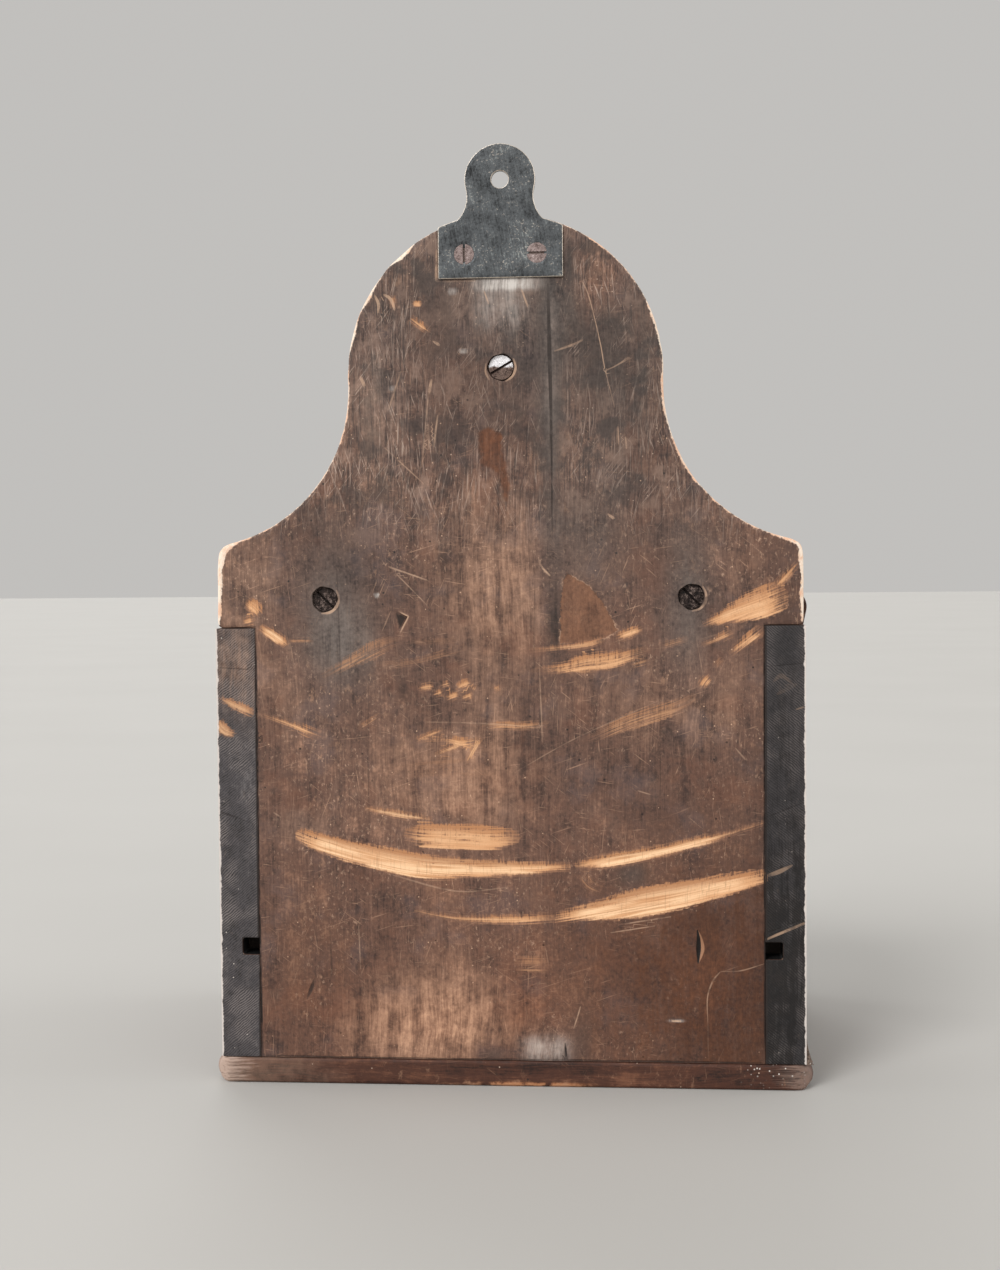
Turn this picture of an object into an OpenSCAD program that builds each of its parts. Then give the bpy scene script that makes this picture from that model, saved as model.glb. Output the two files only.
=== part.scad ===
// Wall salt box with an arched back, a sloping hinged lid and a drawer under the salt.
// Millimetres. +Z is up, -Y is the front, +Y faces the wall, and the base stands on z = 0.

/* [Carcass] */
// Width over the outside of the two sides
box_w = 220; // [200:1:250]
// Depth of the sides from front to back
box_d = 140; // [120:1:170]
// Thickness of the sides
side_t = 15; // [12:0.5:18]
// Height of the sides at the back, above the base
side_back_h = 163; // [150:1:185]
// Slope of the lid below the horizontal, in degrees
lid_slope = 25; // [18:1:30]
// Thickness of the front board
front_t = 12; // [9:0.5:15]
// Number of dovetails at each front corner
dovetail_count = 3; // [2:1:4]
// Run of a dovetail's flank for each unit that it spreads
dovetail_ratio = 6; // [5:0.5:8]

/* [Base] */
// Thickness of the base board
base_t = 10; // [8:0.5:14]
// How far the base stands out past each side
base_side_overhang = 3; // [2:0.5:6]
// How far the base stands out past the front
base_front_overhang = 10; // [6:0.5:14]

/* [Shelf] */
// Height of the drawer's opening, from the base to the shelf
drawer_opening_h = 39.2; // [30:0.2:48]
// Thickness of the shelf that carries the salt
shelf_t = 6.4; // [5:0.2:8]
// Depth of the shelf's grooves in the sides
groove_depth = 6.5; // [4:0.5:8]

/* [Back] */
// Thickness of the back board
back_t = 10; // [8:0.5:14]
// How far each ear of the back stops short of the side's outer face
ear_inset = 0.7; // [0:0.1:2]
// Height of the ears above the tops of the sides
shoulder_h = 30.5; // [26:0.5:40]
// Radius of the arched top
arch_r = 58.5; // [50:0.5:65]
// Height of the arch's centre above the tops of the sides
arch_rise = 93.5; // [86:0.5:100]
// Radius of the hollow between the arch and an ear
cove_r = 58.5; // [50:0.5:65]

/* [Lid] */
// Thickness of the lid
lid_t = 11; // [9:0.5:14]
// How far the lid stands out past each side
lid_side_overhang = 3; // [2:0.5:6]
// How far the lid runs on past the front board, along its slope
lid_nose = 12; // [8:0.5:16]
// Depth of the fixed rail behind the lid
rail_d = 20; // [16:0.5:26]

/* [Hinges] */
// Distance of each hinge's middle from the side's outer face
hinge_inset = 42; // [34:1:56]
// Length of a hinge
hinge_l = 38; // [30:1:50]
// Reach of a leaf from the pin's centre
leaf_w = 10; // [8:0.5:11]
// Thickness of a leaf
leaf_t = 1.2; // [0.8:0.1:1.6]
// Radius of the knuckles
knuckle_r = 2.5; // [2.2:0.1:3]
// Radius of the hinge pin
pin_r = 1.1; // [0.8:0.1:1.3]

/* [Hanger] */
// Width of the hanger plate's foot
hanger_w = 46; // [38:1:56]
// Height of the foot's lower edge below the crown of the arch
hanger_foot = 23.5; // [19:0.5:30]
// Thickness of the hanger plate
hanger_t = 2; // [1.5:0.1:3]
// Depth of the recess that the plate is let into
hanger_recess = 1; // [0.5:0.1:1.4]
// Radius of the hanger's round head
hanger_head_r = 13; // [11:0.5:15]
// Height of the hanging hole above the crown of the arch
hanger_hole_rise = 12.3; // [11:0.1:18]
// Radius of the hanging hole
hanger_hole_r = 3.15; // [2:0.05:4]
// Offset of the hanger from the middle of the back
hanger_x = 1; // [-3:0.5:3]
// Distance between the hanger's two screws
hanger_screw_gap = 26.8; // [22:0.2:32]

/* [Boss] */
// Diameter of the turned boss on the front of the arch
boss_d = 32; // [26:1:40]
// How far the boss stands out from the back board
boss_h = 10; // [8:0.5:12]
// Offset of the boss from the middle of the back
boss_x = 1.3; // [-3:0.1:3]
// Height of the boss above the arch's centre
boss_rise = 2.4; // [0:0.1:4]

/* [Drawer] */
// Thickness of the drawer's front
drawer_front_t = 12; // [9:0.5:15]
// Thickness of the drawer's sides and back
drawer_side_t = 6.5; // [5:0.5:8]
// Thickness of the drawer's bottom
drawer_bottom_t = 4; // [3:0.5:5]
// Diameter of the drawer's knob
knob_d = 18; // [14:1:22]
// Length of the knob in front of the drawer
knob_l = 16; // [12:0.5:20]

/* [Screws] */
// Diameter of the head of a screw that holds the rail or the boss
screw_head_d = 9; // [7:0.1:9.5]
// Distance of each rail screw from the side's outer face
rail_screw_inset = 41.7; // [34:0.1:56]
// Height of the rail screws above the tops of the sides
rail_screw_rise = 10.7; // [8:0.1:12]
// Diameter of the head of a hanger screw
hanger_screw_head_d = 7.4; // [6:0.1:8]
// Diameter of the head of a hinge screw
hinge_screw_head_d = 4.6; // [4:0.1:5]

/* [Hidden] */
$fn = 96;

// Clearances: glued joints, sliding fits, the lid on its seat, and pins in their bores
glue_gap = 0.05;
slide_gap = 0.5;
seat_gap = 0.2;
pin_gap = 0.05;
screw_gap = 0.05;
hinge_gap = 0.8;
knuckle_gap = 0.25;
// Overshoot of cutting shapes, so that no face is left behind
over = 1;

// Heights
side_top = base_t + side_back_h;
shelf_z = base_t + drawer_opening_h;
shoulder_z = side_top + shoulder_h;
arch_z = side_top + arch_rise;
crown_z = arch_z + arch_r;
cove_z = shoulder_z + cove_r;
// The arch and each hollow touch, so the line is smooth where one turns into the other
cove_x = sqrt(pow(arch_r + cove_r, 2) - pow(arch_z - cove_z, 2));
waist_z = arch_z + (cove_z - arch_z) * arch_r / (arch_r + cove_r);

// Widths
inner_w = box_w - 2 * side_t;
ear_w = box_w - 2 * ear_inset;
base_w = box_w + 2 * base_side_overhang;
lid_w = box_w + 2 * lid_side_overhang;
hinge_x = box_w / 2 - hinge_inset;
rail_screw_x = box_w / 2 - rail_screw_inset;

// The lid turns about a line on its top face, in the gap in front of the rail
rail_front = back_t + rail_d;
axis_depth = rail_front + hinge_gap / 2;
axis_z = side_top + (lid_t + seat_gap) / cos(lid_slope) - (axis_depth - rail_front) * tan(lid_slope);
lid_l = (box_d - axis_depth) / cos(lid_slope) + lid_t * tan(lid_slope) + lid_nose;
lid_nose_r = lid_t / 2;

// Depths of the furthest pieces in front, which set the middle of the whole object
lid_front = axis_depth + (lid_l - lid_nose_r) * cos(lid_slope) - lid_nose_r * sin(lid_slope) + lid_nose_r;
base_front = box_d + base_front_overhang;
knob_front = box_d + knob_l;
hanger_proud = hanger_t - hanger_recess;
rear_y = (max(lid_front, base_front, knob_front) - hanger_proud) / 2;

// Hanger
hole_z = crown_z + hanger_hole_rise;
foot_z = crown_z - hanger_foot;
hanger_screw_z = foot_z + 0.375 * hanger_foot;
neck_r = 12;
neck_drop = 6;
neck_x = sqrt(pow(hanger_head_r + neck_r, 2) - pow(neck_drop, 2));
neck_top_z = hole_z - neck_drop * hanger_head_r / (hanger_head_r + neck_r);

// Screws: a shank is this share of the head's diameter, and the heads have one driver slot
shank_share = 0.5;
slot_w = 0.9;
slot_depth = 0.8;
sunk_head = 1.2;
rail_screw_l = back_t + 0.65 * rail_d;
boss_screw_l = back_t + 0.55 * boss_h;
hanger_screw_l = hanger_proud + 0.75 * back_t;
hinge_screw_l = 10;
hinge_screw_x = hinge_l / 3.4;
leaf_h = min(leaf_w, (lid_t - 1) / cos(lid_slope));
hinge_screw_drop = 0.68 * leaf_h;
knuckles = 5;
knuckle_l = hinge_l / knuckles;
rail_screw_z = side_top + rail_screw_rise;
boss_z = arch_z + boss_rise;

// Cut nails, square in section
nail_w = 2.2;
nail_head = [4.4, 2.8, 1.2];
side_nail_z = [0.16, 0.5, 0.84];
base_nail_depth = [0.2, 0.75];
drawer_nail_z = [0.3, 0.7];
side_nail_bite = 18;
base_nail_bite = 22;
drawer_nail_bite = 12;

// Drawer
drawer_w = inner_w - 2 * slide_gap;
drawer_h = drawer_opening_h - slide_gap - seat_gap;
drawer_z = base_t + seat_gap;
drawer_back_depth = back_t + slide_gap;
drawer_panel_z = drawer_z + 3;
drawer_panel_tongue = 3;
drawer_x = drawer_w / 2;
panel_half = drawer_x - drawer_side_t + drawer_panel_tongue;
drawer_tail_l = 0.65 * drawer_front_t;
drawer_front_depth = box_d - drawer_front_t;
drawer_back_z = drawer_panel_z + drawer_bottom_t + glue_gap;
knob_spigot_d = 7;
knob_spigot_l = 0.85 * drawer_front_t;
knob_z = drawer_z + drawer_h / 2;

// Placing: depth is measured forward from the plane of the back

// An outline of (depth, height), w wide along X about x
module across(w, x = 0) {
    translate([x, rear_y, 0])
        rotate([90, 0, -90])
            linear_extrude(w, center = true)
                children();
}

// An outline of (X, height), from one depth forward by a thickness
module upright(depth, thickness) {
    translate([0, rear_y - depth, 0])
        rotate([90, 0, 0])
            linear_extrude(thickness)
                children();
}

// A block given by its ranges along X, depth and height
module block(x, depth, z) {
    translate([x[0], rear_y - depth[1], z[0]])
        cube([x[1] - x[0], depth[1] - depth[0], z[1] - z[0]]);
}

// The lid's plane: the hinge line is the origin, -Y runs down the slope
module on_slope() {
    translate([0, rear_y - axis_depth, axis_z])
        rotate([lid_slope, 0, 0])
            children();
}

// Points straight forward from a place on the plane of the back
module forward(x, depth, z) {
    translate([x, rear_y - depth, z])
        rotate([90, 0, 0])
            children();
}

function slope_z(depth, thickness = 0) =
    axis_z - (depth - axis_depth) * tan(lid_slope) - thickness / cos(lid_slope);

// Height of the sides' top edge: level under the rail, then down the slope
function seat_z(depth) = slope_z(depth, lid_t + seat_gap);

// Fasteners

// A wood screw with its slotted head at the origin, driven along +Z; grow makes its hole
module wood_screw(head_d, l, grow = 0) {
    shank_r = head_d * shank_share / 2;
    head_r = head_d / 2;
    cone_h = head_r - shank_r;
    rim_h = 0.4;
    tip_h = 2 * shank_r;
    difference() {
        union() {
            cylinder(r = head_r + grow, h = rim_h);
            translate([0, 0, rim_h])
                cylinder(r1 = head_r + grow, r2 = shank_r + grow, h = cone_h);
            cylinder(r = shank_r + grow, h = l - tip_h);
            translate([0, 0, l - tip_h])
                cylinder(r1 = shank_r + grow, r2 = 0.3 + grow, h = tip_h + grow);
        }
        if (grow == 0)
            translate([-head_d, -slot_w / 2, -over])
                cube([2 * head_d, slot_w, slot_depth + over]);
    }
}

// The hole for a wood screw, open at the head's side
module screw_hole(head_d, l) {
    wood_screw(head_d, l, screw_gap);
    translate([0, 0, -2 * over])
        cylinder(d = head_d + 2 * screw_gap, h = 2 * over + screw_gap);
}

// A cut nail with its head at the origin, driven along +Z; grow makes its hole
module cut_nail(l, grow = 0) {
    head_x = nail_head[0] / 2 + grow;
    head_y = nail_head[1] / 2 + grow;
    shank = nail_w / 2 + grow;
    translate([-head_x, -head_y, grow > 0 ? -over : 0])
        cube([2 * head_x, 2 * head_y, nail_head[2] + (grow > 0 ? over + grow : 0)]);
    translate([-shank, -shank, 0])
        cube([2 * shank, 2 * shank, l + grow]);
}

module hanger_screw_places() {
    for (side = [-1, 1])
        forward(hanger_x + side * hanger_screw_gap / 2, -hanger_proud, hanger_screw_z)
            rotate(45 + 45 * side)
                children();
}

module rail_screw_places() {
    for (side = [-1, 1])
        forward(side * rail_screw_x, sunk_head, rail_screw_z)
            rotate(45)
                children();
}

module boss_screw_place() {
    forward(boss_x, sunk_head, boss_z)
        rotate(-30)
            children();
}

// Screws of the leaves, driven back into the rail
module hinge_rail_screw_places() {
    for (x = [-hinge_x, hinge_x], side = [-1, 1])
        translate([x + side * hinge_screw_x, rear_y - rail_front, axis_z - hinge_screw_drop])
            rotate([-90, 0, 0])
                children();
}

// Screws of the leaves, driven forward into the lid's back edge
module hinge_lid_screw_places() {
    for (x = [-hinge_x, hinge_x], side = [-1, 1])
        forward(x + side * hinge_screw_x, rail_front + hinge_gap, axis_z - hinge_screw_drop)
            children();
}

// Nails through each side into the edge of the back board
module side_nail_places() {
    for (side = [-1, 1], share = side_nail_z)
        translate([side * box_w / 2, rear_y - back_t / 2, base_t + share * side_back_h])
            rotate([0, -side * 90, 0])
                children();
}

// Nails up through the base into the sides
module base_nail_places() {
    for (side = [-1, 1], share = base_nail_depth)
        translate([side * (box_w - side_t) / 2, rear_y - share * box_d, 0])
            rotate(90)
                children();
}

// Nails through each drawer side into the edge of the drawer's back
module drawer_nail_places() {
    for (side = [-1, 1], share = drawer_nail_z)
        translate([
            side * drawer_w / 2,
            rear_y - drawer_back_depth - drawer_side_t / 2,
            drawer_back_z + share * (drawer_h - drawer_back_z + drawer_z)
        ])
            rotate([0, -side * 90, 0])
                children();
}

// Joints

// Tails at the front end of a board, from one depth forward, as (depth, height) outlines
module tails(count, depth, l, z, grow = 0) {
    pitch = (z[1] - z[0]) / count;
    spread = l / dovetail_ratio;
    half = pitch * 0.36 + grow;
    for (i = [0 : count - 1]) {
        middle = z[0] + (i + 0.5) * pitch;
        polygon([
            [depth - over, middle - half + spread + over / dovetail_ratio],
            [depth + l, middle - half],
            [depth + l, middle + half],
            [depth - over, middle + half - spread - over / dovetail_ratio]
        ]);
    }
}

module carcass_tails(grow = 0) {
    tails(dovetail_count, box_d - front_t, front_t, [shelf_z, seat_z(box_d)], grow);
}

module drawer_tails(grow = 0) {
    tails(2, drawer_front_depth, drawer_tail_l, [drawer_z, drawer_z + drawer_h], grow);
}

// Back board

module back_outline() {
    translate([-inner_w / 2 + glue_gap, base_t])
        square([inner_w - 2 * glue_gap, side_back_h + over]);
    difference() {
        translate([-ear_w / 2, side_top])
            square([ear_w, waist_z - side_top]);
        for (side = [-1, 1]) {
            translate([side * cove_x, cove_z])
                circle(r = cove_r);
            translate([side * (cove_x + box_w / 2), shoulder_z + box_w])
                square([box_w, 2 * box_w], center = true);
        }
    }
    translate([0, arch_z])
        circle(r = arch_r);
}

module back_board() {
    color("#4a3a32")
        difference() {
            upright(0, back_t)
                back_outline();
            upright(-over, hanger_recess + over)
                hanger_outline(glue_gap);
            hanger_screw_places()
                screw_hole(hanger_screw_head_d, hanger_screw_l);
            rail_screw_places()
                screw_hole(screw_head_d, rail_screw_l);
            boss_screw_place()
                screw_hole(screw_head_d, boss_screw_l);
            side_nail_places()
                cut_nail(side_t + side_nail_bite, screw_gap);
        }
}

// Sides, shelf, front and base

module side_outline() {
    polygon([
        [0, base_t],
        [box_d, base_t],
        [box_d, seat_z(box_d)],
        [rail_front, side_top],
        [0, side_top]
    ]);
}

// The front board's place at the end of a side, which the tails reach through
module front_slot_outline() {
    polygon([
        [box_d - front_t, shelf_z],
        [box_d + over, shelf_z],
        [box_d + over, side_top + over],
        [box_d - front_t, side_top + over]
    ]);
}

module side(hand) {
    x = hand * (box_w - side_t) / 2;
    inner = hand * inner_w / 2;
    groove = hand * groove_depth;
    color("#3b3330")
        difference() {
            across(side_t, x)
                difference() {
                    side_outline();
                    difference() {
                        front_slot_outline();
                        carcass_tails();
                    }
                }
            block(
                [min(inner - hand * over, inner + groove), max(inner - hand * over, inner + groove)],
                [-over, box_d - front_t + glue_gap],
                [shelf_z, shelf_z + shelf_t + glue_gap]
            );
            side_nail_places()
                cut_nail(side_t + side_nail_bite, screw_gap);
            base_nail_places()
                cut_nail(base_t + base_nail_bite, screw_gap);
        }
}

module left_side() {
    side(-1);
}

module right_side() {
    side(1);
}

module front_board() {
    inner = inner_w / 2 - glue_gap;
    color("#4a2f22")
        difference() {
            across(box_w)
                polygon([
                    [box_d - front_t + glue_gap, shelf_z + glue_gap],
                    [box_d, shelf_z + glue_gap],
                    [box_d, seat_z(box_d)],
                    [box_d - front_t + glue_gap, seat_z(box_d - front_t + glue_gap)]
                ]);
            for (side = [-1, 1])
                across(box_w / 2 - inner + over, side * (box_w / 2 + inner + over) / 2)
                    carcass_tails(glue_gap);
        }
}

module shelf() {
    half = inner_w / 2 + groove_depth - glue_gap;
    color("#6b4f3a")
        block([-half, half], [back_t + glue_gap, box_d - front_t - glue_gap], [shelf_z, shelf_z + shelf_t]);
}

// A slab with a rounded edge at both ends, standing on y = 0
module nosed_slab(w, t) {
    translate([-w / 2 + t / 2, 0])
        square([w - t, t]);
    for (side = [-1, 1])
        translate([side * (w - t) / 2, t / 2])
            circle(d = t);
}

module base_board() {
    color("#4a3228")
        difference() {
            intersection() {
                upright(-over, base_front + 2 * over)
                    nosed_slab(base_w, base_t);
                across(base_w + 2 * over) {
                    square([base_front - base_t / 2, base_t]);
                    translate([base_front - base_t / 2, base_t / 2])
                        circle(d = base_t);
                }
            }
            base_nail_places()
                cut_nail(base_t + base_nail_bite, screw_gap);
        }
}

// Hinge rail and lid

module hinge_mortises() {
    for (x = [-hinge_x, hinge_x]) {
        half = hinge_l / 2 + screw_gap;
        block(
            [x - half, x + half],
            [rail_front - leaf_t - screw_gap, rail_front + hinge_gap + leaf_t + screw_gap],
            [axis_z - leaf_h - screw_gap, axis_z + knuckle_r]
        );
        translate([x, rear_y - axis_depth, axis_z])
            rotate([0, 90, 0])
                cylinder(r = knuckle_r + knuckle_gap, h = 2 * half, center = true);
    }
}

module hinge_rail() {
    color("#4a2f22")
        difference() {
            across(ear_w)
                polygon([
                    [back_t, side_top],
                    [rail_front, side_top],
                    [rail_front, slope_z(rail_front)],
                    [back_t, slope_z(back_t)]
                ]);
            hinge_mortises();
            hinge_rail_screw_places()
                screw_hole(hinge_screw_head_d, hinge_screw_l);
            rail_screw_places()
                screw_hole(screw_head_d, rail_screw_l);
        }
}

module lid() {
    rear = rear_y - rail_front - hinge_gap;
    color("#4a2f22")
        difference() {
            intersection() {
                on_slope()
                    rotate([90, 0, -90])
                        linear_extrude(lid_w + 2 * over, center = true)
                            translate([lid_l / 2 - lid_nose_r, -lid_t])
                                nosed_slab(lid_l + 2 * lid_nose_r, lid_t);
                on_slope()
                    translate([0, over + lid_t, -lid_t])
                        rotate([90, 0, 0])
                            linear_extrude(lid_l + lid_t + 2 * over)
                                nosed_slab(lid_w, lid_t);
            }
            translate([-lid_w, rear, 0])
                cube([2 * lid_w, box_d, crown_z]);
            hinge_mortises();
            hinge_lid_screw_places()
                screw_hole(hinge_screw_head_d, hinge_screw_l);
        }
}

// Hinges: five knuckles on a pin, three on the rail's leaf and two on the lid's

// Knuckles first, first + 2 and so on, as bars of radius r
module knuckle_row(x, first, r, grow = 0) {
    for (i = [first : 2 : knuckles - 1])
        translate([x - hinge_l / 2 + (i + 0.5) * knuckle_l, rear_y - axis_depth, axis_z])
            rotate([0, 90, 0])
                cylinder(r = r, h = knuckle_l + grow, center = true);
}

module pin_bar(x, r, l) {
    translate([x, rear_y - axis_depth, axis_z])
        rotate([0, 90, 0])
            cylinder(r = r, h = l, center = true);
}

// One leaf over a range of depth, with its own knuckles and room for the other leaf's
module leaf(x, depth, own, other) {
    color("#6f6238")
        difference() {
            union() {
                difference() {
                    block([x - hinge_l / 2, x + hinge_l / 2], depth, [axis_z - leaf_h, axis_z]);
                    knuckle_row(x, other, knuckle_r + knuckle_gap, knuckle_gap);
                }
                knuckle_row(x, own, knuckle_r, -knuckle_gap);
            }
            pin_bar(x, pin_r + pin_gap, hinge_l + 2 * over);
            hinge_rail_screw_places()
                screw_hole(hinge_screw_head_d, hinge_screw_l);
            hinge_lid_screw_places()
                screw_hole(hinge_screw_head_d, hinge_screw_l);
        }
}

module rail_leaf(x) {
    leaf(x, [rail_front - leaf_t, rail_front], 0, 1);
}

module lid_leaf(x) {
    leaf(x, [rail_front + hinge_gap, rail_front + hinge_gap + leaf_t], 1, 0);
}

module hinge_pin(x) {
    color("#8a7a48")
        pin_bar(x, pin_r, hinge_l);
}

module hinge_rail_screws() {
    color("#7d7668")
        hinge_rail_screw_places()
            wood_screw(hinge_screw_head_d, hinge_screw_l);
}

module hinge_lid_screws() {
    color("#7d7668")
        hinge_lid_screw_places()
            wood_screw(hinge_screw_head_d, hinge_screw_l);
}

// Hanger

module hanger_outline(grow = 0) {
    intersection() {
        translate([hanger_x - hanger_w / 2 - grow, foot_z - grow])
            square([hanger_w + 2 * grow, hanger_w]);
        translate([0, arch_z])
            circle(r = arch_r + grow);
    }
    difference() {
        translate([hanger_x - hanger_w / 2, foot_z])
            square([hanger_w, neck_top_z - foot_z]);
        for (side = [-1, 1]) {
            translate([hanger_x + side * neck_x, hole_z - neck_drop])
                circle(r = neck_r);
            translate([hanger_x + side * (neck_x + hanger_w / 2), hole_z - neck_drop])
                square([hanger_w, 2 * neck_r], center = true);
        }
    }
    translate([hanger_x, hole_z])
        circle(r = hanger_head_r);
}

module hanger_plate() {
    color("#5a5a4e")
        difference() {
            upright(-hanger_proud, hanger_t)
                hanger_outline();
            forward(hanger_x, -hanger_proud - over, hole_z)
                cylinder(r = hanger_hole_r, h = hanger_t + 2 * over);
            hanger_screw_places()
                screw_hole(hanger_screw_head_d, hanger_screw_l);
        }
}

module hanger_screws() {
    color("#9a9088")
        hanger_screw_places()
            wood_screw(hanger_screw_head_d, hanger_screw_l);
}

module rail_screws() {
    color("#4b4542")
        rail_screw_places()
            wood_screw(screw_head_d, rail_screw_l);
}

// Boss

// Turned outline of the boss, from its seat outward: a stepped disc with a raised button
module boss_outline() {
    rim_r = boss_d / 2;
    bead_r = 2.5;
    button_r = 0.46 * rim_r;
    flat_r = button_r - bead_r;
    square([rim_r - bead_r, 2 * bead_r]);
    translate([rim_r - bead_r, bead_r])
        circle(r = bead_r);
    square([button_r, boss_h - bead_r]);
    square([flat_r, boss_h]);
    translate([flat_r, boss_h - bead_r])
        circle(r = bead_r);
}

module front_boss() {
    color("#4a2f22")
        difference() {
            forward(boss_x, back_t, boss_z)
                rotate_extrude()
                    intersection() {
                        boss_outline();
                        square(boss_d);
                    }
            boss_screw_place()
                screw_hole(screw_head_d, boss_screw_l);
        }
}

module boss_screw() {
    color("#b8b2ac")
        boss_screw_place()
            wood_screw(screw_head_d, boss_screw_l);
}

// Drawer

// The drawer's bottom, grown to make the grooves that hold it
module drawer_panel(grow = 0) {
    block(
        [-panel_half - grow, panel_half + grow],
        [drawer_back_depth - (grow > 0 ? over : 0), drawer_front_depth + drawer_panel_tongue + grow],
        [drawer_panel_z - grow, drawer_panel_z + drawer_bottom_t + grow]
    );
}

// Sockets for the tails of a drawer side, with glue room on their flanks and ends
module drawer_sockets() {
    drawer_tails(glue_gap);
    translate([glue_gap, 0])
        drawer_tails(glue_gap);
}

module drawer_front() {
    inner = drawer_x - drawer_side_t - glue_gap;
    color("#4a2f22")
        difference() {
            block(
                [-drawer_x, drawer_x],
                [drawer_front_depth + glue_gap, box_d],
                [drawer_z, drawer_z + drawer_h]
            );
            for (side = [-1, 1])
                across(drawer_side_t + glue_gap + over, side * (drawer_x + inner + over) / 2)
                    drawer_sockets();
            drawer_panel(glue_gap);
            forward(0, drawer_front_depth - over, knob_z)
                cylinder(d = knob_spigot_d + 2 * pin_gap, h = drawer_front_t + 2 * over);
        }
}

module drawer_side(hand) {
    color("#8a6a4c")
        difference() {
            across(drawer_side_t, hand * (drawer_x - drawer_side_t / 2)) {
                translate([drawer_back_depth, drawer_z])
                    square([drawer_front_depth - drawer_back_depth, drawer_h]);
                drawer_tails();
            }
            drawer_panel(glue_gap);
            drawer_nail_places()
                cut_nail(drawer_side_t + drawer_nail_bite, screw_gap);
        }
}

module drawer_left_side() {
    drawer_side(-1);
}

module drawer_right_side() {
    drawer_side(1);
}

module drawer_back() {
    half = drawer_x - drawer_side_t - glue_gap;
    color("#8a6a4c")
        difference() {
            block(
                [-half, half],
                [drawer_back_depth, drawer_back_depth + drawer_side_t],
                [drawer_back_z, drawer_z + drawer_h]
            );
            drawer_nail_places()
                cut_nail(drawer_side_t + drawer_nail_bite, screw_gap);
        }
}

module drawer_bottom() {
    color("#8a6a4c")
        drawer_panel();
}

// Turned outline of the knob, from the drawer's face outward: a foot, a hollow neck and a domed cap
module knob_outline() {
    bead_r = 0.17 * knob_l;
    cap_r = knob_d / 2 - bead_r;
    rim_h = 0.62 * knob_l;
    foot_h = 0.14 * knob_l;
    hollow_r = (rim_h - bead_r - foot_h) / 2;
    dome_h = knob_l - rim_h - bead_r;
    dome_r = (pow(cap_r, 2) + pow(dome_h, 2)) / (2 * dome_h);
    difference() {
        square([cap_r, rim_h + bead_r]);
        translate([0.6 * knob_spigot_d + hollow_r, foot_h + hollow_r])
            circle(r = hollow_r);
    }
    translate([cap_r, rim_h])
        circle(r = bead_r);
    intersection() {
        translate([0, knob_l - dome_r])
            circle(r = dome_r);
        translate([0, rim_h])
            square([cap_r, knob_l]);
    }
}

module drawer_knob() {
    color("#4a2f22")
        forward(0, box_d, knob_z) {
            rotate_extrude()
                knob_outline();
            translate([0, 0, -knob_spigot_l])
                cylinder(d = knob_spigot_d, h = knob_spigot_l + over);
        }
}

// Nails

module side_nails() {
    color("#3a3634")
        side_nail_places()
            cut_nail(side_t + side_nail_bite);
}

module base_nails() {
    color("#3a3634")
        base_nail_places()
            cut_nail(base_t + base_nail_bite);
}

module drawer_nails() {
    color("#3a3634")
        drawer_nail_places()
            cut_nail(drawer_side_t + drawer_nail_bite);
}

back_board();
left_side();
right_side();
front_board();
shelf();
base_board();
hinge_rail();
lid();
rail_leaf(-hinge_x);  // left_hinge_rail_leaf
rail_leaf(hinge_x);  // right_hinge_rail_leaf
lid_leaf(-hinge_x);  // left_hinge_lid_leaf
lid_leaf(hinge_x);  // right_hinge_lid_leaf
hinge_pin(-hinge_x);  // left_hinge_pin
hinge_pin(hinge_x);  // right_hinge_pin
hinge_rail_screws();
hinge_lid_screws();
hanger_plate();
hanger_screws();
rail_screws();
front_boss();
boss_screw();
drawer_front();
drawer_left_side();
drawer_right_side();
drawer_back();
drawer_bottom();
drawer_knob();
side_nails();
base_nails();
drawer_nails();
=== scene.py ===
"""Wall salt box: worn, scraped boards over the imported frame, seen from behind as it stands."""
import math

import bmesh
import bpy
import numpy as np
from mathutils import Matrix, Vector
from mathutils.geometry import delaunay_2d_cdt
from mathutils.kdtree import KDTree


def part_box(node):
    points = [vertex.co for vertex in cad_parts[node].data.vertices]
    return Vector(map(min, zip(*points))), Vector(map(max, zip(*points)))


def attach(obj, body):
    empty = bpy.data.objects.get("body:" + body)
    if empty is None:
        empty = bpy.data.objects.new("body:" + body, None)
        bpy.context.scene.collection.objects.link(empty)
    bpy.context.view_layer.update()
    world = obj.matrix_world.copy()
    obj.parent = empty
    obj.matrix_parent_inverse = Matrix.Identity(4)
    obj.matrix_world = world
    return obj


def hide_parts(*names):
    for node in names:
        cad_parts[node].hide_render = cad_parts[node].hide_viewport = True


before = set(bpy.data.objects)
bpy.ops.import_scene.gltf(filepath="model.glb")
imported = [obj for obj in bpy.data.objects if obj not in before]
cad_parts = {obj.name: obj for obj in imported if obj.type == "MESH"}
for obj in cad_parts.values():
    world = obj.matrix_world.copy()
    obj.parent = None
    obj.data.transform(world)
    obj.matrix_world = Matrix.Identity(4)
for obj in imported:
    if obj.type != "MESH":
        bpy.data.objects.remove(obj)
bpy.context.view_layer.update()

MM = 0.001

# Sizes in millimetres, as in the solids
BOX_W = 220
SIDE_T = 15
BASE_T = 10
BASE_W = 226
SIDE_TOP = 173
SHOULDER_Z = 203.5
ARCH_R = 58.5
ARCH_Z = 266.5
COVE_R = 58.5
EAR_W = 218.6
BACK_T = 10
HANGER_X = 1
HANGER_W = 46
HANGER_T = 2
HANGER_RECESS = 1
HANGER_FOOT_Z = 301.5
HANGER_HEAD_R = 13
HOLE_Z = 337.3
HOLE_R = 3.15
NECK_R = 12
NECK_DROP = 6
SHELF_Z = (49.2, 55.6)
GROOVE_X = 101.5

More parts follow.
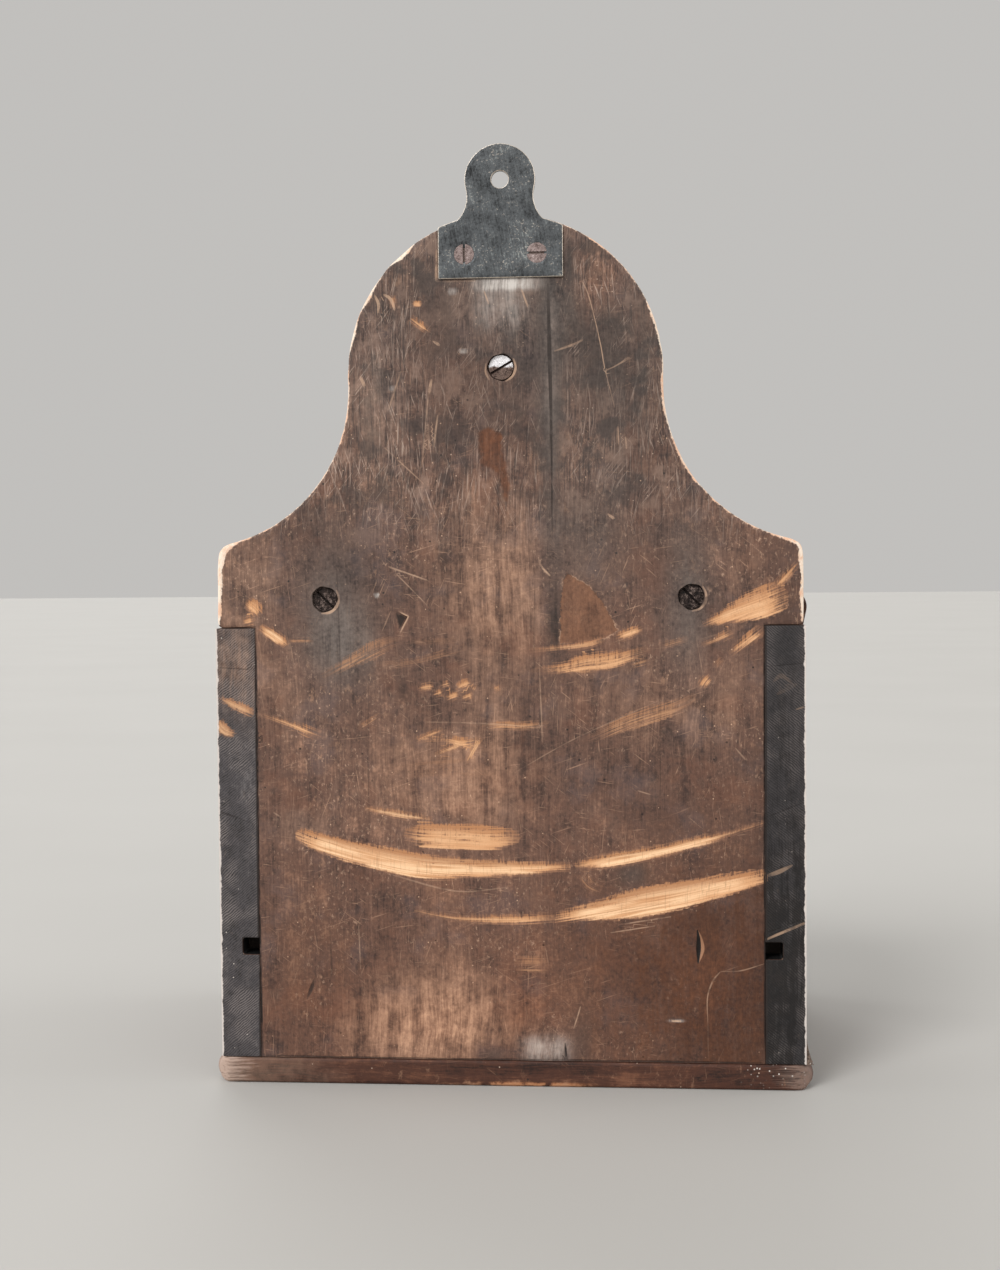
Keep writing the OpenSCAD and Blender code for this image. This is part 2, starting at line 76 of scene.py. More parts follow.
# Screws sunk into the back: across, height, radius of the hole; and how deep the holes go
SUNK_SCREWS = [(-68.3, 183.7, 4.75), (68.3, 183.7, 4.75), (-1.3, 268.9, 4.9)]
HOLE_DEPTH = 2.6

# The plane of the back, and the depth of the base in front of it
REAR_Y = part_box("back_board")[1][1] / MM
BASE_D = REAR_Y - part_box("base_board")[0][1] / MM


# Marks on the rear. Places are seen from behind: across to the right of the middle, then height.

# Scrapes down to pale wood: strength, then points of (across, height, half width)
SCRAPES = [
    (1, [(-80, 95.5, 1.6), (-72, 92.5, 3), (-56, 88, 3.7), (-34, 83.5, 4), (-13, 82.5, 2.8), (8, 82.8, 1.9),
         (23, 83.4, 0.8)]),
    (1, [(24.5, 83.8, 0.6), (31, 84.8, 1.6), (39, 86, 2.3), (54, 88.8, 1.8), (72, 93.3, 1.5),
         (80, 95.5, 0.7), (95, 100.2, 0.2)]),
    (0.8, [(-36, 66.8, 0.3), (-20, 63.8, 0.7), (0, 63.4, 1.3), (17, 64.3, 1.2)]),
    (1, [(17, 64.3, 1.1), (31, 66.7, 2.8), (48, 69.9, 4.8), (65, 73.3, 4.4), (80, 76.9, 3.4),
         (95, 80.4, 2)]),
    (0.8, [(-39, 95.6, 1.2), (-33, 94.9, 3.4), (-22, 94.4, 4.4), (-11, 94.1, 4.2), (-2, 94.2, 3.2),
           (4, 94.4, 1.2)]),
    (1, [(-54, 105.2, 0.4), (-46, 103.7, 0.9), (-39, 102.5, 1), (-29, 101.2, 0.5)]),
    (0.84, [(72.5, 173.2, 0.5), (80, 176.2, 2.1), (88, 179.2, 4.2), (95, 181.8, 5.2), (101.5, 184.4, 4.6)]),
    (0.9, [(99.5, 187.6, 1.2), (103, 191.2, 1), (107.2, 196, 0.6)]),
    (0.6, [(72.2, 165.8, 0.4), (77.5, 168, 0.7), (82.9, 170.6, 1.3)]),
    (0.7, [(71.7, 150.2, 0.7), (73, 152.4, 1.4), (75, 154.6, 0.5)]),
    (0.4, [(76.5, 158, 0.5), (79.5, 161, 0.9)]),
    (0.6, [(82, 162.6, 0.6), (86, 165.6, 1.1), (90.5, 169, 1.6), (93.9, 171.6, 1.4)]),
    (0.8, [(8.5, 164.2, 0.3), (27.5, 166, 0.9), (36, 168, 0.7)]),
    (0.8, [(40.8, 168.8, 0.8), (45, 170.3, 1.5), (50, 172, 0.8)]),
    (0.62, [(9.5, 156.7, 0.5), (20, 157.6, 1.4), (29.5, 159.3, 2.8), (39, 160.6, 2.6), (48, 163, 1.3),
            (53, 164.2, 0.4)]),
    (0.45, [(56, 165.2, 0.4), (61, 166.6, 0.7), (67, 168.2, 0.6)]),
    (0.5, [(45.5, 158.8, 0.4), (49, 159.4, 0.7), (53, 160.6, 0.3)]),
    (0.45, [(30, 131, 0.8), (46.5, 138, 2.4), (62, 143, 2), (70, 147, 0.6)]),
    (1, [(-93, 173.6, 0.5), (-88, 170.2, 1.9), (-83, 166.8, 1.1)]),
    (0.6, [(-82.6, 168.3, 0.6), (-73, 168, 0.4)]),
    (0.8, [(-98.5, 183.2, 0.5), (-95, 181, 2.1), (-92.6, 178, 0.6)]),
    (0.6, [(-99.5, 175.1, 0.7), (-95.5, 176, 1.8)]),
    (0.6, [(-94.7, 141.5, 0.5), (-82, 137, 1), (-75, 134.2, 1.6), (-70.5, 132.5, 0.8)]),
    (0.8, [(-109, 147, 0.5), (-102.6, 143.8, 1.5), (-96, 140.8, 1.3)]),
    (0.9, [(-110, 138.2, 1.2), (-107.3, 134.6, 2), (-103, 132.9, 0.6)]),
    (0.45, [(-69.5, 154.8, 0.5), (-55, 162.2, 2.1), (-47.5, 165.8, 2.3), (-40, 168.4, 0.6)]),
    (0.4, [(-49, 158.5, 0.9), (-33.5, 160.3, 0.7), (-15.5, 165.3, 0.9)]),
    (0.35, [(-39, 167.7, 0.4), (-19, 168, 0.6)]),
    (0.72, [(-33, 150, 0.5), (-29.4, 150.8, 1.1), (-27.6, 150.4, 0.4)]),
    (0.72, [(-27.6, 147.8, 0.5), (-24.4, 148.8, 1.2)]),
    (0.72, [(-24.6, 151.2, 0.5), (-21.8, 152, 1)]),
    (0.72, [(-23, 146.4, 0.6), (-20, 147.6, 1.3), (-18, 148, 0.4)]),
    (0.72, [(-18.6, 150.4, 0.6), (-16, 151.8, 1.3), (-13.6, 152.4, 0.4)]),
    (0.72, [(-16.8, 146.6, 0.6), (-13.4, 147.8, 1.2)]),
    (0.72, [(-12.8, 149.6, 0.9), (-11.6, 151.6, 0.4)]),
    (0.6, [(-5.6, 149.6, 0.5), (-2.6, 150.8, 1)]),
    (0.4, [(23.5, 155, 0.3), (30, 155.8, 0.5), (36.8, 156.8, 0.3)]),
    (0.55, [(-10, 135.1, 0.4), (-2.5, 136.2, 1), (5, 136, 0.9), (15, 136.8, 0.5)]),
    (0.8, [(-33, 130.6, 0.4), (-23.3, 131, 0.6), (-17.4, 129.8, 1.6), (-11.8, 130.4, 0.6)]),
    (0.9, [(-15.2, 122.5, 0.6), (-13, 127, 1), (-10, 131.5, 0.7)]),
    (0.8, [(-27, 125.4, 0.6), (-18.5, 128.8, 1), (-10.5, 131.4, 0.6)]),
    (0.7, [(-35, 130.3, 0.5), (-29, 132.8, 0.9), (-24, 134.6, 0.5)]),
    (0.35, [(-41, 120.8, 0.5), (-26, 122, 0.8), (-12, 123, 0.5)]),
    (0.35, [(-36, 117.4, 0.5), (-20, 118.4, 0.7), (-6, 118.2, 0.4)]),
    (0.5, [(-56, 135.1, 0.6), (-48, 140.2, 0.6)]),
    (0.8, [(-35, 287.8, 0.4), (-30.4, 284.4, 1.1), (-27.5, 282.5, 0.4)]),
    (0.7, [(-33.6, 292.9, 0.9), (-30.7, 292.8, 1.2)]),
    (0.6, [(-41.4, 296, 0.8), (-41, 291, 0.6)]),
    (0.4, [(2.5, 46.8, 2.1), (13.7, 46.9, 2.4)]),
    (0.4, [(27.3, 81, 0.9), (30.3, 77, 1.5), (35, 74.8, 0.7)]),
]

# Fine pale scratches, and two painted highlights along the hanger plate's recess, given the same way
SCRATCHES_AND_HIGHLIGHTS = [
    (0.65, [(29, 299.8, 0.12), (31.6, 293.3, 0.2), (35.4, 277.2, 0.16), (37, 268, 0.14),
            (40.6, 253.2, 0.05)]),
    (0.35, [(18.4, 274.4, 0.2), (25.3, 276.6, 0.4), (29.2, 278.4, 0.3)]),
    (0.35, [(36.9, 266.8, 0.3), (41, 268.6, 0.2), (46.1, 271.6, 0.5)]),
    (0.4, [(41.7, 247, 0.2), (41.9, 240, 0.3)]),
    (0.4, [(44.4, 243, 0.2), (44.8, 238, 0.3)]),
    (0.45, [(-24.8, 252, 0.25), (-25.8, 245, 0.35), (-26.4, 239.5, 0.2)]),
    (0.4, [(-28.3, 248.5, 0.2), (-28.4, 239, 0.3)]),
    (0.5, [(-27, 265, 0.3), (-27.8, 261, 0.6), (-28.2, 259, 0.2)]),
    (0.6, [(-48, 296.5, 0.3), (-46.5, 293, 0.6), (-46.8, 289.5, 0.3)]),
    (0.6, [(-44.7, 296.5, 0.4), (-42, 294.6, 0.6), (-40.4, 290.5, 0.4)]),
    (0.5, [(-26.5, 279, 0.3), (-24, 277.4, 0.6)]),
    (0.5, [(-53.6, 266.4, 0.5), (-52, 262.5, 0.6)]),
    (0.9, [(60, 25.9, 0.3), (64, 25.8, 0.35)]),
    (0.35, [(95, 47.8, 0.15), (86, 45, 0.2), (78.4, 44.6, 0.15)]),
    (0.45, [(78.4, 44.6, 0.15), (75.6, 41, 0.35), (73.6, 34.6, 0.2), (73.7, 25.4, 0.12)]),
    (0.18, [(73.7, 25.4, 0.12), (73.8, 11, 0.1)]),
    (0.45, [(37.7, 58.7, 0.2), (54.5, 61.5, 0.2)]),
    (0.45, [(41, 61.8, 0.2), (60.5, 65, 0.2)]),
    (0.5, [(-44, 195.7, 0.3), (-29.3, 190.5, 0.25)]),
    (0.4, [(-41.5, 193.5, 0.25), (-29.4, 181, 0.2)]),
    (0.7, [(12, 199, 0.2), (13, 195.5, 0.35), (16.4, 191.7, 0.3)]),
    (0.5, [(26.5, 31, 0.25), (23.8, 22.4, 0.2)]),
    (0.5, [(-7.3, 297, 0.3), (-5.5, 292, 0.3)]),
    (0.5, [(6.5, 297.5, 0.3), (9, 290.5, 0.3)]),
    (0.35, [(-45, 240, 0.25), (-30, 226, 0.2)]),
    (0.35, [(-28, 262, 0.2), (-31, 232, 0.25)]),
    (0.3, [(-89, 103.5, 0.3), (-86, 101.5, 0.3)]),
    (0.35, [(12, 160, 0.2), (13, 130, 0.25)]),
    (0.25, [(2.4, 118.6, 0.15), (24.5, 131, 0.2), (55.7, 145.2, 0.15)]),
    (0.3, [(-30.6, 137.6, 0.2), (-8, 137, 0.3), (13.5, 135.3, 0.2)]),
    (0.5, [(37.5, 214.6, 0.3), (40.2, 212.6, 0.6)]),
    (0.3, [(-57, 61, 0.2), (-56.4, 44, 0.2)]),
    (0.3, [(-44, 80, 0.25), (-20, 74, 0.3), (0, 75.5, 0.2)]),
    (0.3, [(-38.5, 268, 0.3), (-43.4, 253.6, 0.3)]),
    (0.35, [(48, 112, 0.2), (53, 110.5, 0.3)]),
    (0.3, [(84, 128, 0.2), (88, 123.4, 0.3)]),
    (0.7, [(-69.5, 178.4, 0.3), (-66.2, 178.8, 0.5), (-63.6, 181.2, 0.55), (-62.9, 184.5, 0.4),
           (-63.8, 187.4, 0.2)]),
    (0.6, [(68.5, 178.4, 0.3), (71.4, 179.3, 0.4), (73.4, 181.8, 0.5), (73.6, 185, 0.4),
           (72.4, 187.6, 0.2)]),
    (0.6, [(0.4, 263.7, 0.3), (2.8, 265.4, 0.5), (4.2, 268.6, 0.4), (3.4, 272, 0.3)]),
    (0.4, [(-5.4, 264.2, 0.3), (-6.9, 267, 0.35), (-6.8, 270.4, 0.2)]),
    (0.8, [(95, 56.6, 0.35), (101, 59.3, 0.5), (109.5, 63, 0.45)]),
    (0.5, [(95.5, 80.4, 0.5), (100, 82, 0.8), (105, 84.5, 0.4)]),
    (0.12, [(98, 152, 0.4), (101, 154.5, 0.8), (105, 151.5, 0.4)]),
    (0.1, [(99, 147.5, 0.4), (103, 149.5, 0.7), (107, 151.5, 0.4)]),
    (0.3, [(105.5, 141.8, 0.2), (109.4, 143, 0.35)]),
    # Painted highlights: pale lines along the left and bottom edges of the hanger plate's recess
    (0.5, [(-24.7, 312.5, 0.35), (-24.8, 302, 0.5), (-24, 300.7, 0.4)]),
    (0.35, [(-23.4, 300.7, 0.3), (-10, 300.7, 0.3)]),
]

# Cracks, seams and dark lines, given the same way
CRACKS = [
    (0.8, [(16.5, 299, 0.6), (16.6, 288, 0.6), (16.8, 273, 0.7), (17.2, 245, 0.45), (17.3, 205, 0.12)]),
    (0.5, [(18.6, 190, 0.4), (18.4, 176, 0.6), (18.8, 162, 0.3)]),
    (1, [(-94.8, 174, 0.35), (-94.8, 130, 0.5), (-94.8, 90, 0.25), (-94.8, 50, 0.5), (-94.8, 10, 0.6)]),
    (1, [(94.8, 174, 0.25), (94.8, 130, 0.3), (94.8, 90, 0.35), (94.8, 50, 0.3), (94.8, 10, 0.4)]),
    (1, [(-109, 173.1, 0.25), (-95, 173.1, 0.4)]),
    (1, [(109, 173.1, 0.15), (95, 173.1, 0.3)]),
    (0.8, [(-94, 10.4, 0.3), (-30, 10.3, 0.25), (30, 10.4, 0.35), (94, 10.4, 0.3)]),
    (1, [(20.6, 17, 0.25), (21, 10, 0.5)]),
    (0.8, [(-73.9, 40.5, 0.3), (-75.3, 36.5, 0.7), (-77.2, 32, 0.2)]),
    (0.7, [(-92.8, 133, 0.25), (-92.9, 129.5, 0.3)]),
    (0.7, [(95.5, 102, 0.25), (109.5, 107.8, 0.3)]),
    (0.9, [(95.2, 58.8, 0.4), (101, 61.2, 0.3), (108, 64, 0.2)]),
    (0.6, [(-110, 103.8, 0.4), (-104, 101.8, 0.3), (-96.3, 98.8, 0.25)]),
    (0.6, [(-109.8, 158.3, 0.2), (-96, 157.3, 0.2)]),
    (0.6, [(96, 157.8, 0.2), (110, 159, 0.2)]),
    (0.5, [(-63.5, 196, 0.2), (-63, 178, 0.25), (-62.5, 150, 0.15)]),
    (0.4, [(-52, 155, 0.2), (-52.5, 120, 0.25), (-52.3, 95, 0.15)]),
    (0.35, [(10.5, 186, 0.2), (10, 150, 0.25), (11, 115, 0.2)]),
    (0.4, [(57, 148, 0.15), (56.5, 110, 0.2)]),
    (0.5, [(-68, 60, 0.15), (-67.5, 44, 0.4), (-68.2, 39, 0.2)]),
    (0.45, [(57, 137, 0.2), (56.6, 132.8, 0.35), (58.6, 130, 0.2)]),
    (0.5, [(58, 135.8, 0.2), (60.4, 134.2, 0.5), (61.2, 130.6, 0.2)]),
    (0.35, [(57.6, 127.6, 0.15), (58, 125, 0.25)]),
]

# A slit that a tool has left, given the same way
SLIT = [
    (1, [(70, 60, 0.2), (70.8, 56.5, 1.1), (71, 52.5, 1.5), (70.2, 47.5, 0.2)]),
]

# Soft changes of tone, one of them a painted shadow: across, height, spread across, spread up, lightness,
# redness, greyness
TINTS = [
    (-47, 255, 11, 26, 0.14, 0, 0.2), (0, 252, 16, 16, -0.32, 0.1, 0), (-96, 190, 12, 12, 0.16, 0, 0.1),
    (94, 192, 12, 12, 0.14, 0.05, 0), (-76, 148, 14, 14, 0.12, 0.05, 0), (64, 140, 16, 10, 0.12, 0.05, 0),
    (-103, 160, 8, 14, 0.25, 0.1, 0), (103, 90, 8, 90, -0.5, 0, 0), (45, 235, 12, 22, -0.15, 0, 0.15),
    (-2, 205, 18, 32, 0.2, 0.12, 0), (-2, 183, 14, 13, 0.24, 0.12, 0), (-20, 116, 22, 15, 0.28, 0.32, 0),
    (-6, 125, 5, 30, 0.2, 0.15, 0), (-35, 24, 34, 13, 0.48, 0.34, 0), (-20, 26, 10, 16, 0.22, 0.1, 0),
    (5, 32, 8, 14, -0.06, 0.4, 0), (15, 15, 7, 6, 0.2, -0.2, 0.3), (27, 19, 4, 11, -0.4, 0, 0.2),
    (62, 42, 44, 36, -0.3, 0.42, 0), (-70, 50, 34, 36, -0.02, 0.08, 0), (-84, 45, 12, 46, -0.04, 0.02, 0),
    (-72, 32, 18, 24, -0.24, 0.08, 0), (66, 110, 24, 28, -0.04, 0.05, 0),
    (-65, 180, 11, 22, -0.46, -0.05, 0.75), (-60, 165, 12, 10, -0.25, 0, 0.55),
    (67, 182, 8, 22, -0.44, -0.05, 0.7), (17.8, 176, 2.1, 9, -0.75, 0, 0.1),
    (-39, 150, 1.6, 2.8, -0.45, 0, 0.1), (16.8, 273, 1.7, 30, -0.5, 0, 0.2),
    (28, 206, 13, 18, -0.25, 0, 0.4), (17, 250, 3.5, 60, -0.4, 0, 0.3), (2, 289, 8, 9, 0.18, -0.1, 0.3),
    (10, 275, 6, 28, -0.22, 0.1, 0.1), (0, 280, 62, 40, -0.1, 0, 0.36), (0, 294, 56, 15, -0.1, 0, 0),
    # (23.8, 307) is a painted shadow on the wood right of the hanger plate
    (22, 287, 5, 11, -0.22, 0, 0.2), (23.8, 307, 1.7, 7, -0.55, 0, 0.1), (35, 299, 7, 9, 0.34, 0.2, -0.2),
    (31, 272, 9, 13, -0.18, 0.05, 0), (-27, 286, 7, 12, -0.22, 0.22, 0), (0, 25, 120, 62, 0, 0.24, 0),
    (80, 34, 24, 40, -0.46, 0.16, 0), (66, 148, 26, 20, 0.1, 0.05, 0), (-25, 28, 22, 14, 0.16, 0.14, 0),
    (42, 276, 15, 22, -0.36, 0, 0.1), (46, 80.5, 5, 4.5, -0.5, -0.15, 0.35),
    (-7, 12.5, 5.5, 2.6, -0.6, 0, 0.35), (-23, 302, 8, 14, -0.2, 0, 0.1), (-20, 265, 14, 16, -0.1, 0.35, 0),
    (-25, 75, 8, 8, 0.1, 0.3, 0), (60, 134, 2.5, 4.5, -0.35, 0.05, 0.2), (-78, 98, 10, 5, 0.14, 0, 0.15),
]

# Pale bloom on the surface: across, height, spread across, spread up, amount
CHALK = [
    (1.5, 299.6, 9.8, 2.3, 0.75), (-1.5, 292, 8, 8, 0.22), (13, 14, 8, 5, 0.3), (-48.5, 185, 0.6, 0.6, 0.9),
    (-15.1, 275, 1.3, 0.8, 0.5), (-18.8, 297, 1.4, 0.9, 0.4), (-41.9, 261.6, 0.8, 0.9, 0.6),
    (62, 26, 2.5, 0.5, 0.5),
]

# Bare wood along the rim: across, height, reach along the rim, width in from the edge
BARE = [
    (-109, 200, 6, 3.6), (-109, 190, 9, 2.3), (-109, 179, 6, 1.5), (109, 198, 8, 1.9), (109, 184, 9, 1.5),
    (-38, 311, 4, 1.9), (-50, 296, 5, 1.3), (-57, 281, 5, 1.3), (56, 283, 12, 0.9), (-59, 255, 14, 0.6),
    (59, 258, 18, 0.8), (68, 232, 10, 0.7), (-68, 232, 10, 0.5),
]

# A thin layer that has come away beside the crack
FLAKE = np.array([
    (20, 167), (20.2, 180), (21.3, 190), (22.4, 193), (26, 190.5), (31, 187.5), (35, 183), (38.5, 177),
    (41, 171), (36, 168.5), (28, 166.5),
])
# An old brown stain that has run down
STAIN = np.array([
    (-9.6, 245), (-6, 247), (-1.4, 244.4), (-1, 238), (0.6, 231), (1.6, 224), (0.4, 219), (-1.6, 226),
    (-3.8, 231.5), (-9.4, 232.2),
])
# A dent with a broken right edge
DENT = np.array([(-42, 179.5), (-37, 177), (-40.3, 170.8)])
# How deep the flake, the dent and the board's waves go, and how high the lips of the screw holes stand
FLAKE_DEPTH = 0.25
DENT_DEPTH = 1.0
WAVE_DEPTH = 0.05
LIP_HEIGHT = 0.22


# Shapes in the plane

def arc(centre, r, start, end, step):
    """Points along an arc, from one angle to another in degrees."""
    count = max(3, int(abs(math.radians(end - start)) * r / step))
    turn = np.radians(np.linspace(start, end, count))
    return np.column_stack([centre[0] + r * np.cos(turn), centre[1] + r * np.sin(turn)])


def resample(points, step):
    """A closed loop of points about one step apart."""
    loop = np.vstack([points, points[:1]])
    gaps = np.linalg.norm(np.diff(loop, axis=0), axis=1)
    run = np.concatenate([[0], np.cumsum(gaps)])
    at = np.linspace(0, run[-1], int(run[-1] / step), endpoint=False)
    return np.column_stack([np.interp(at, run, loop[:, 0]), np.interp(at, run, loop[:, 1])])


def soften(loop, centre, reach, rounds):
    """Rounds a corner of a loop near a place."""
    near = np.linalg.norm(loop - np.array(centre), axis=1) < reach
    for _ in range(rounds):
        mean = (np.roll(loop, 1, axis=0) + np.roll(loop, -1, axis=0)) / 2
        loop = np.where(near[:, None], mean, loop)
    return loop


def inside(points, loop):
    """Whether each point lies in a closed loop."""
    found = np.zeros(len(points), bool)
    for (ax, ay), (bx, by) in zip(loop, np.roll(loop, -1, axis=0)):
        spans = (points[:, 1] < ay) != (points[:, 1] < by)
        rise = by - ay if by != ay else 1e-9
        found ^= spans & (points[:, 0] < ax + (points[:, 1] - ay) * (bx - ax) / rise)
    return found


def distance(points, loop):
    """Distance of each point from the line of a closed loop."""
    best = np.full(len(points), 1e9)
    for a, b in zip(loop, np.roll(loop, -1, axis=0)):
        along = b - a
        t = np.clip(((points - a) @ along) / max(along @ along, 1e-12), 0, 1)
        best = np.minimum(best, np.linalg.norm(points - a - t[:, None] * along, axis=1))
    return best


def ripple(x, y, size, seed):
    """A smooth field between about -1 and 1, with hills about one size apart."""
    rng = np.random.default_rng(seed)
    waves = 7
    total = np.zeros_like(x)
    for _ in range(waves):
        angle, phase = rng.uniform(0, 2 * math.pi, 2)
        rate = 2 * math.pi / (size * rng.uniform(0.7, 1.6))
        total += np.sin((x * math.cos(angle) + y * math.sin(angle)) * rate + phase)
    return total / (waves / 2)


def ease(x, low, high):
    """0 at low and 1 at high, with a soft rise between them."""
    t = np.clip((x - low) / (high - low), 0, 1)
    return t * t * (3 - 2 * t)


# Marks: each stroke gives a vertex its place along and across the stroke, and the stroke's half width there

# What a vertex gets that no stroke reaches
NO_STROKE = (0.0, 40.0, -20.0)
# How far from a stroke's middle line vertices are tried, and how far past its edge it reaches
STROKE_REACH = 5.0
STROKE_SKIRT = 1.4
# Each stroke starts this much further on than the one before, so that no two have the same streaks
STROKE_SHIFT = 37.0
# The longest run over which a stroke fades towards its ends
STROKE_TAIL = 14
# How far in from the rear plane the marks go
REAR_LAYER = 4
# How quickly soft spots and bare patches fade, and the least width of bare wood along the rim
SPOT_FADE = 0.7
BARE_FADE = 0.6
BARE_LEAST = 0.3


def smooth_line(points, step=0.6):
    """Points of (across, height, half width) along a smooth line through the given ones."""
    p = np.array(points, float)
    p = np.vstack([2 * p[0] - p[1], p, 2 * p[-1] - p[-2]])
    out = []
    for a, b, c, d in zip(p, p[1:], p[2:], p[3:]):
        count = max(2, int(np.linalg.norm(c[:2] - b[:2]) / step))
        t = np.linspace(0, 1, count, endpoint=False)[:, None]
        bend = (2 * a - 5 * b + 4 * c - d) * t**2 + (3 * b - a - 3 * c + d) * t**3
        out.append(0.5 * (2 * b + (c - a) * t + bend))
    out.append(p[-2:-1])
    return np.vstack(out)


def strokes_at(places, strokes):
    """(along, across, half width) and strength of the stroke that covers each place most."""
    field = np.tile(np.array(NO_STROKE), (len(places), 1))
    power = np.zeros(len(places))
    for number, (strength, points) in enumerate(strokes, 1):
        line = smooth_line(points)
        middle = line[:, :2]
        low, high = middle.min(axis=0) - STROKE_REACH, middle.max(axis=0) + STROKE_REACH
        near = np.flatnonzero(np.all((places > low) & (places < high), axis=1))
        if not len(near):
            continue
        run = np.concatenate([[0], np.cumsum(np.linalg.norm(np.diff(middle, axis=0), axis=1))])
        heading = np.gradient(middle, axis=0)
        heading /= np.linalg.norm(heading, axis=1)[:, None]
        gap = places[near][:, None, :] - middle
        first = np.argmin((gap**2).sum(axis=2), axis=1)
        off = gap[np.arange(len(near)), first]
        t = heading[first]
        along = run[first] + (off * t).sum(axis=1)
        across = off[:, 1] * t[:, 0] - off[:, 0] * t[:, 1]
        past = np.maximum(0, np.maximum(-along, along - run[-1]))
        half = np.interp(along, run, line[:, 2]) - 2 * past
        half = np.where(np.abs(across) - half > STROKE_SKIRT, NO_STROKE[2], half)
        better = half - np.abs(across) > field[near, 2] - np.abs(field[near, 1])
        chosen = near[better]
        field[chosen] = np.column_stack([along + STROKE_SHIFT * number, across, half])[better]
        tail = ease(np.minimum(along, run[-1] - along), 0, min(STROKE_TAIL, 0.3 * run[-1]))
        power[chosen] = (strength * (0.5 + 0.5 * tail))[better]
    return field, power


def soft_spots(places, spots, power=2):
    """The sum of soft spots at each place; a higher power gives them flatter tops."""
    total = 0
    for across, height, wide, tall, *amounts in spots:
        q = ((places[:, 0] - across) / wide) ** power + ((places[:, 1] - height) / tall) ** power
        total = total + np.exp(-SPOT_FADE * q)[:, None] * np.array(amounts)
    return total


def bare_width(places):
    """How far in from the rim the wood is bare."""
    width = np.full(len(places), BARE_LEAST)
    for across, height, reach, extra in BARE:
        q = ((places[:, 0] - across) ** 2 + (places[:, 1] - height) ** 2) / reach**2
        width = np.maximum(width, extra * np.exp(-BARE_FADE * q))
    return width


def put(mesh, name, values):
    """Stores one number, or three, at each vertex."""
    values = np.asarray(values, np.float32)
    kind, field = ("FLOAT", "value") if values.ndim == 1 else ("FLOAT_VECTOR", "vector")
    mesh.attributes.new(name, kind, "POINT").data.foreach_set(field, values.ravel())


def vertices(mesh):
    """A mesh's vertices in millimetres, and their places seen from behind."""
    flat = np.empty(len(mesh.vertices) * 3, np.float32)
    mesh.vertices.foreach_get("co", flat)
    co = flat.reshape(-1, 3).astype(float) / MM
    return co, np.column_stack([-co[:, 0], co[:, 2]])


def mark_rear(mesh, rim=None):
    """Gives a mesh's rear the marks that lie on it, and its distance from the rim where it has one."""
    co, places = vertices(mesh)
    rear = co[:, 1] > REAR_Y - REAR_LAYER
    for name, strokes in (("scrape", SCRAPES), ("scratch_and_highlight", SCRATCHES_AND_HIGHLIGHTS), ("crack", CRACKS), ("slit", SLIT)):
        field, power = strokes_at(places, strokes)
        field[~rear] = NO_STROKE
        put(mesh, name, field)
        put(mesh, name + "_power", power * rear)
    put(mesh, "tint", soft_spots(places, TINTS) * rear[:, None])
    put(mesh, "chalk", soft_spots(places, CHALK, 4)[:, 0] * rear)
    for name, loop in (("flake", FLAKE), ("stain", STAIN), ("dent", DENT)):
        edge = distance(places, loop)
        put(mesh, name, np.where(inside(places, loop) & rear, edge, -edge + NO_STROKE[2] * ~rear))
    if rim is not None:
        # Neither where the sides cover the rim nor far down its wall
        covered = 6 * ease(places[:, 1], SIDE_TOP + 1.5, SIDE_TOP)
        width = bare_width(places)
        deep = np.maximum(0, REAR_Y - co[:, 1] - 0.7 - 0.6 * width)
        put(mesh, "bare", width - distance(places, rim) - covered - deep)


# Boards with rounded, worn edges

# Angles of the rows of points round an edge, and shares of the wall between two edges at which more lie
EDGE_TURNS = np.radians([0, 20, 45, 68, 90])
WALL_ROWS = (0.06, 0.13, 0.21, 0.30, 0.42, 0.7)
# The faces' grid, in cells: distance between its rows, and its least distance from extra points and rims
ROW_PITCH = 0.87
EXTRA_GAP = 0.55
RIM_GAP = 0.5
# Shares of a board's thickness between which its relief fades out
RELIEF_FADE = (0.25, 0.6)
# Edges of a solid that turn by more than this are rounded: those up to JOINT_EDGE long belong to its joints
SHARP_TURN = math.radians(30)
SHORTEST_EDGE = 4.5
JOINT_EDGE = 22
LONGEST_EDGE = 1000
JOINT_ROUNDING = 0.2
# Angles past which edges are shaded sharp, and metres within which vertices are joined: on boards cut to
# loops, then on copies of solids
BOARD_SHADING = math.radians(50)
BOARD_WELD = 2e-6
COPY_SHADING = math.radians(40)
COPY_WELD = 1e-6
# How near the end of a copy the last of its extra cuts may lie
LAST_CUT = 0.2


def inward(loop):
    """Unit normals to the left of a loop's run."""
    run = np.roll(loop, -1, axis=0) - np.roll(loop, 1, axis=0)
    run /= np.linalg.norm(run, axis=1)[:, None]
    return np.column_stack([-run[:, 1], run[:, 0]])


def clear_of(points, others, gap):
    """Those of the points that lie more than a gap away from all the others."""
    tree = KDTree(len(others))
    for i, (x, y) in enumerate(others):
        tree.insert((x, y, 0), i)
    tree.balance()
    return points[[tree.find((x, y, 0))[2] > gap for x, y in points]]


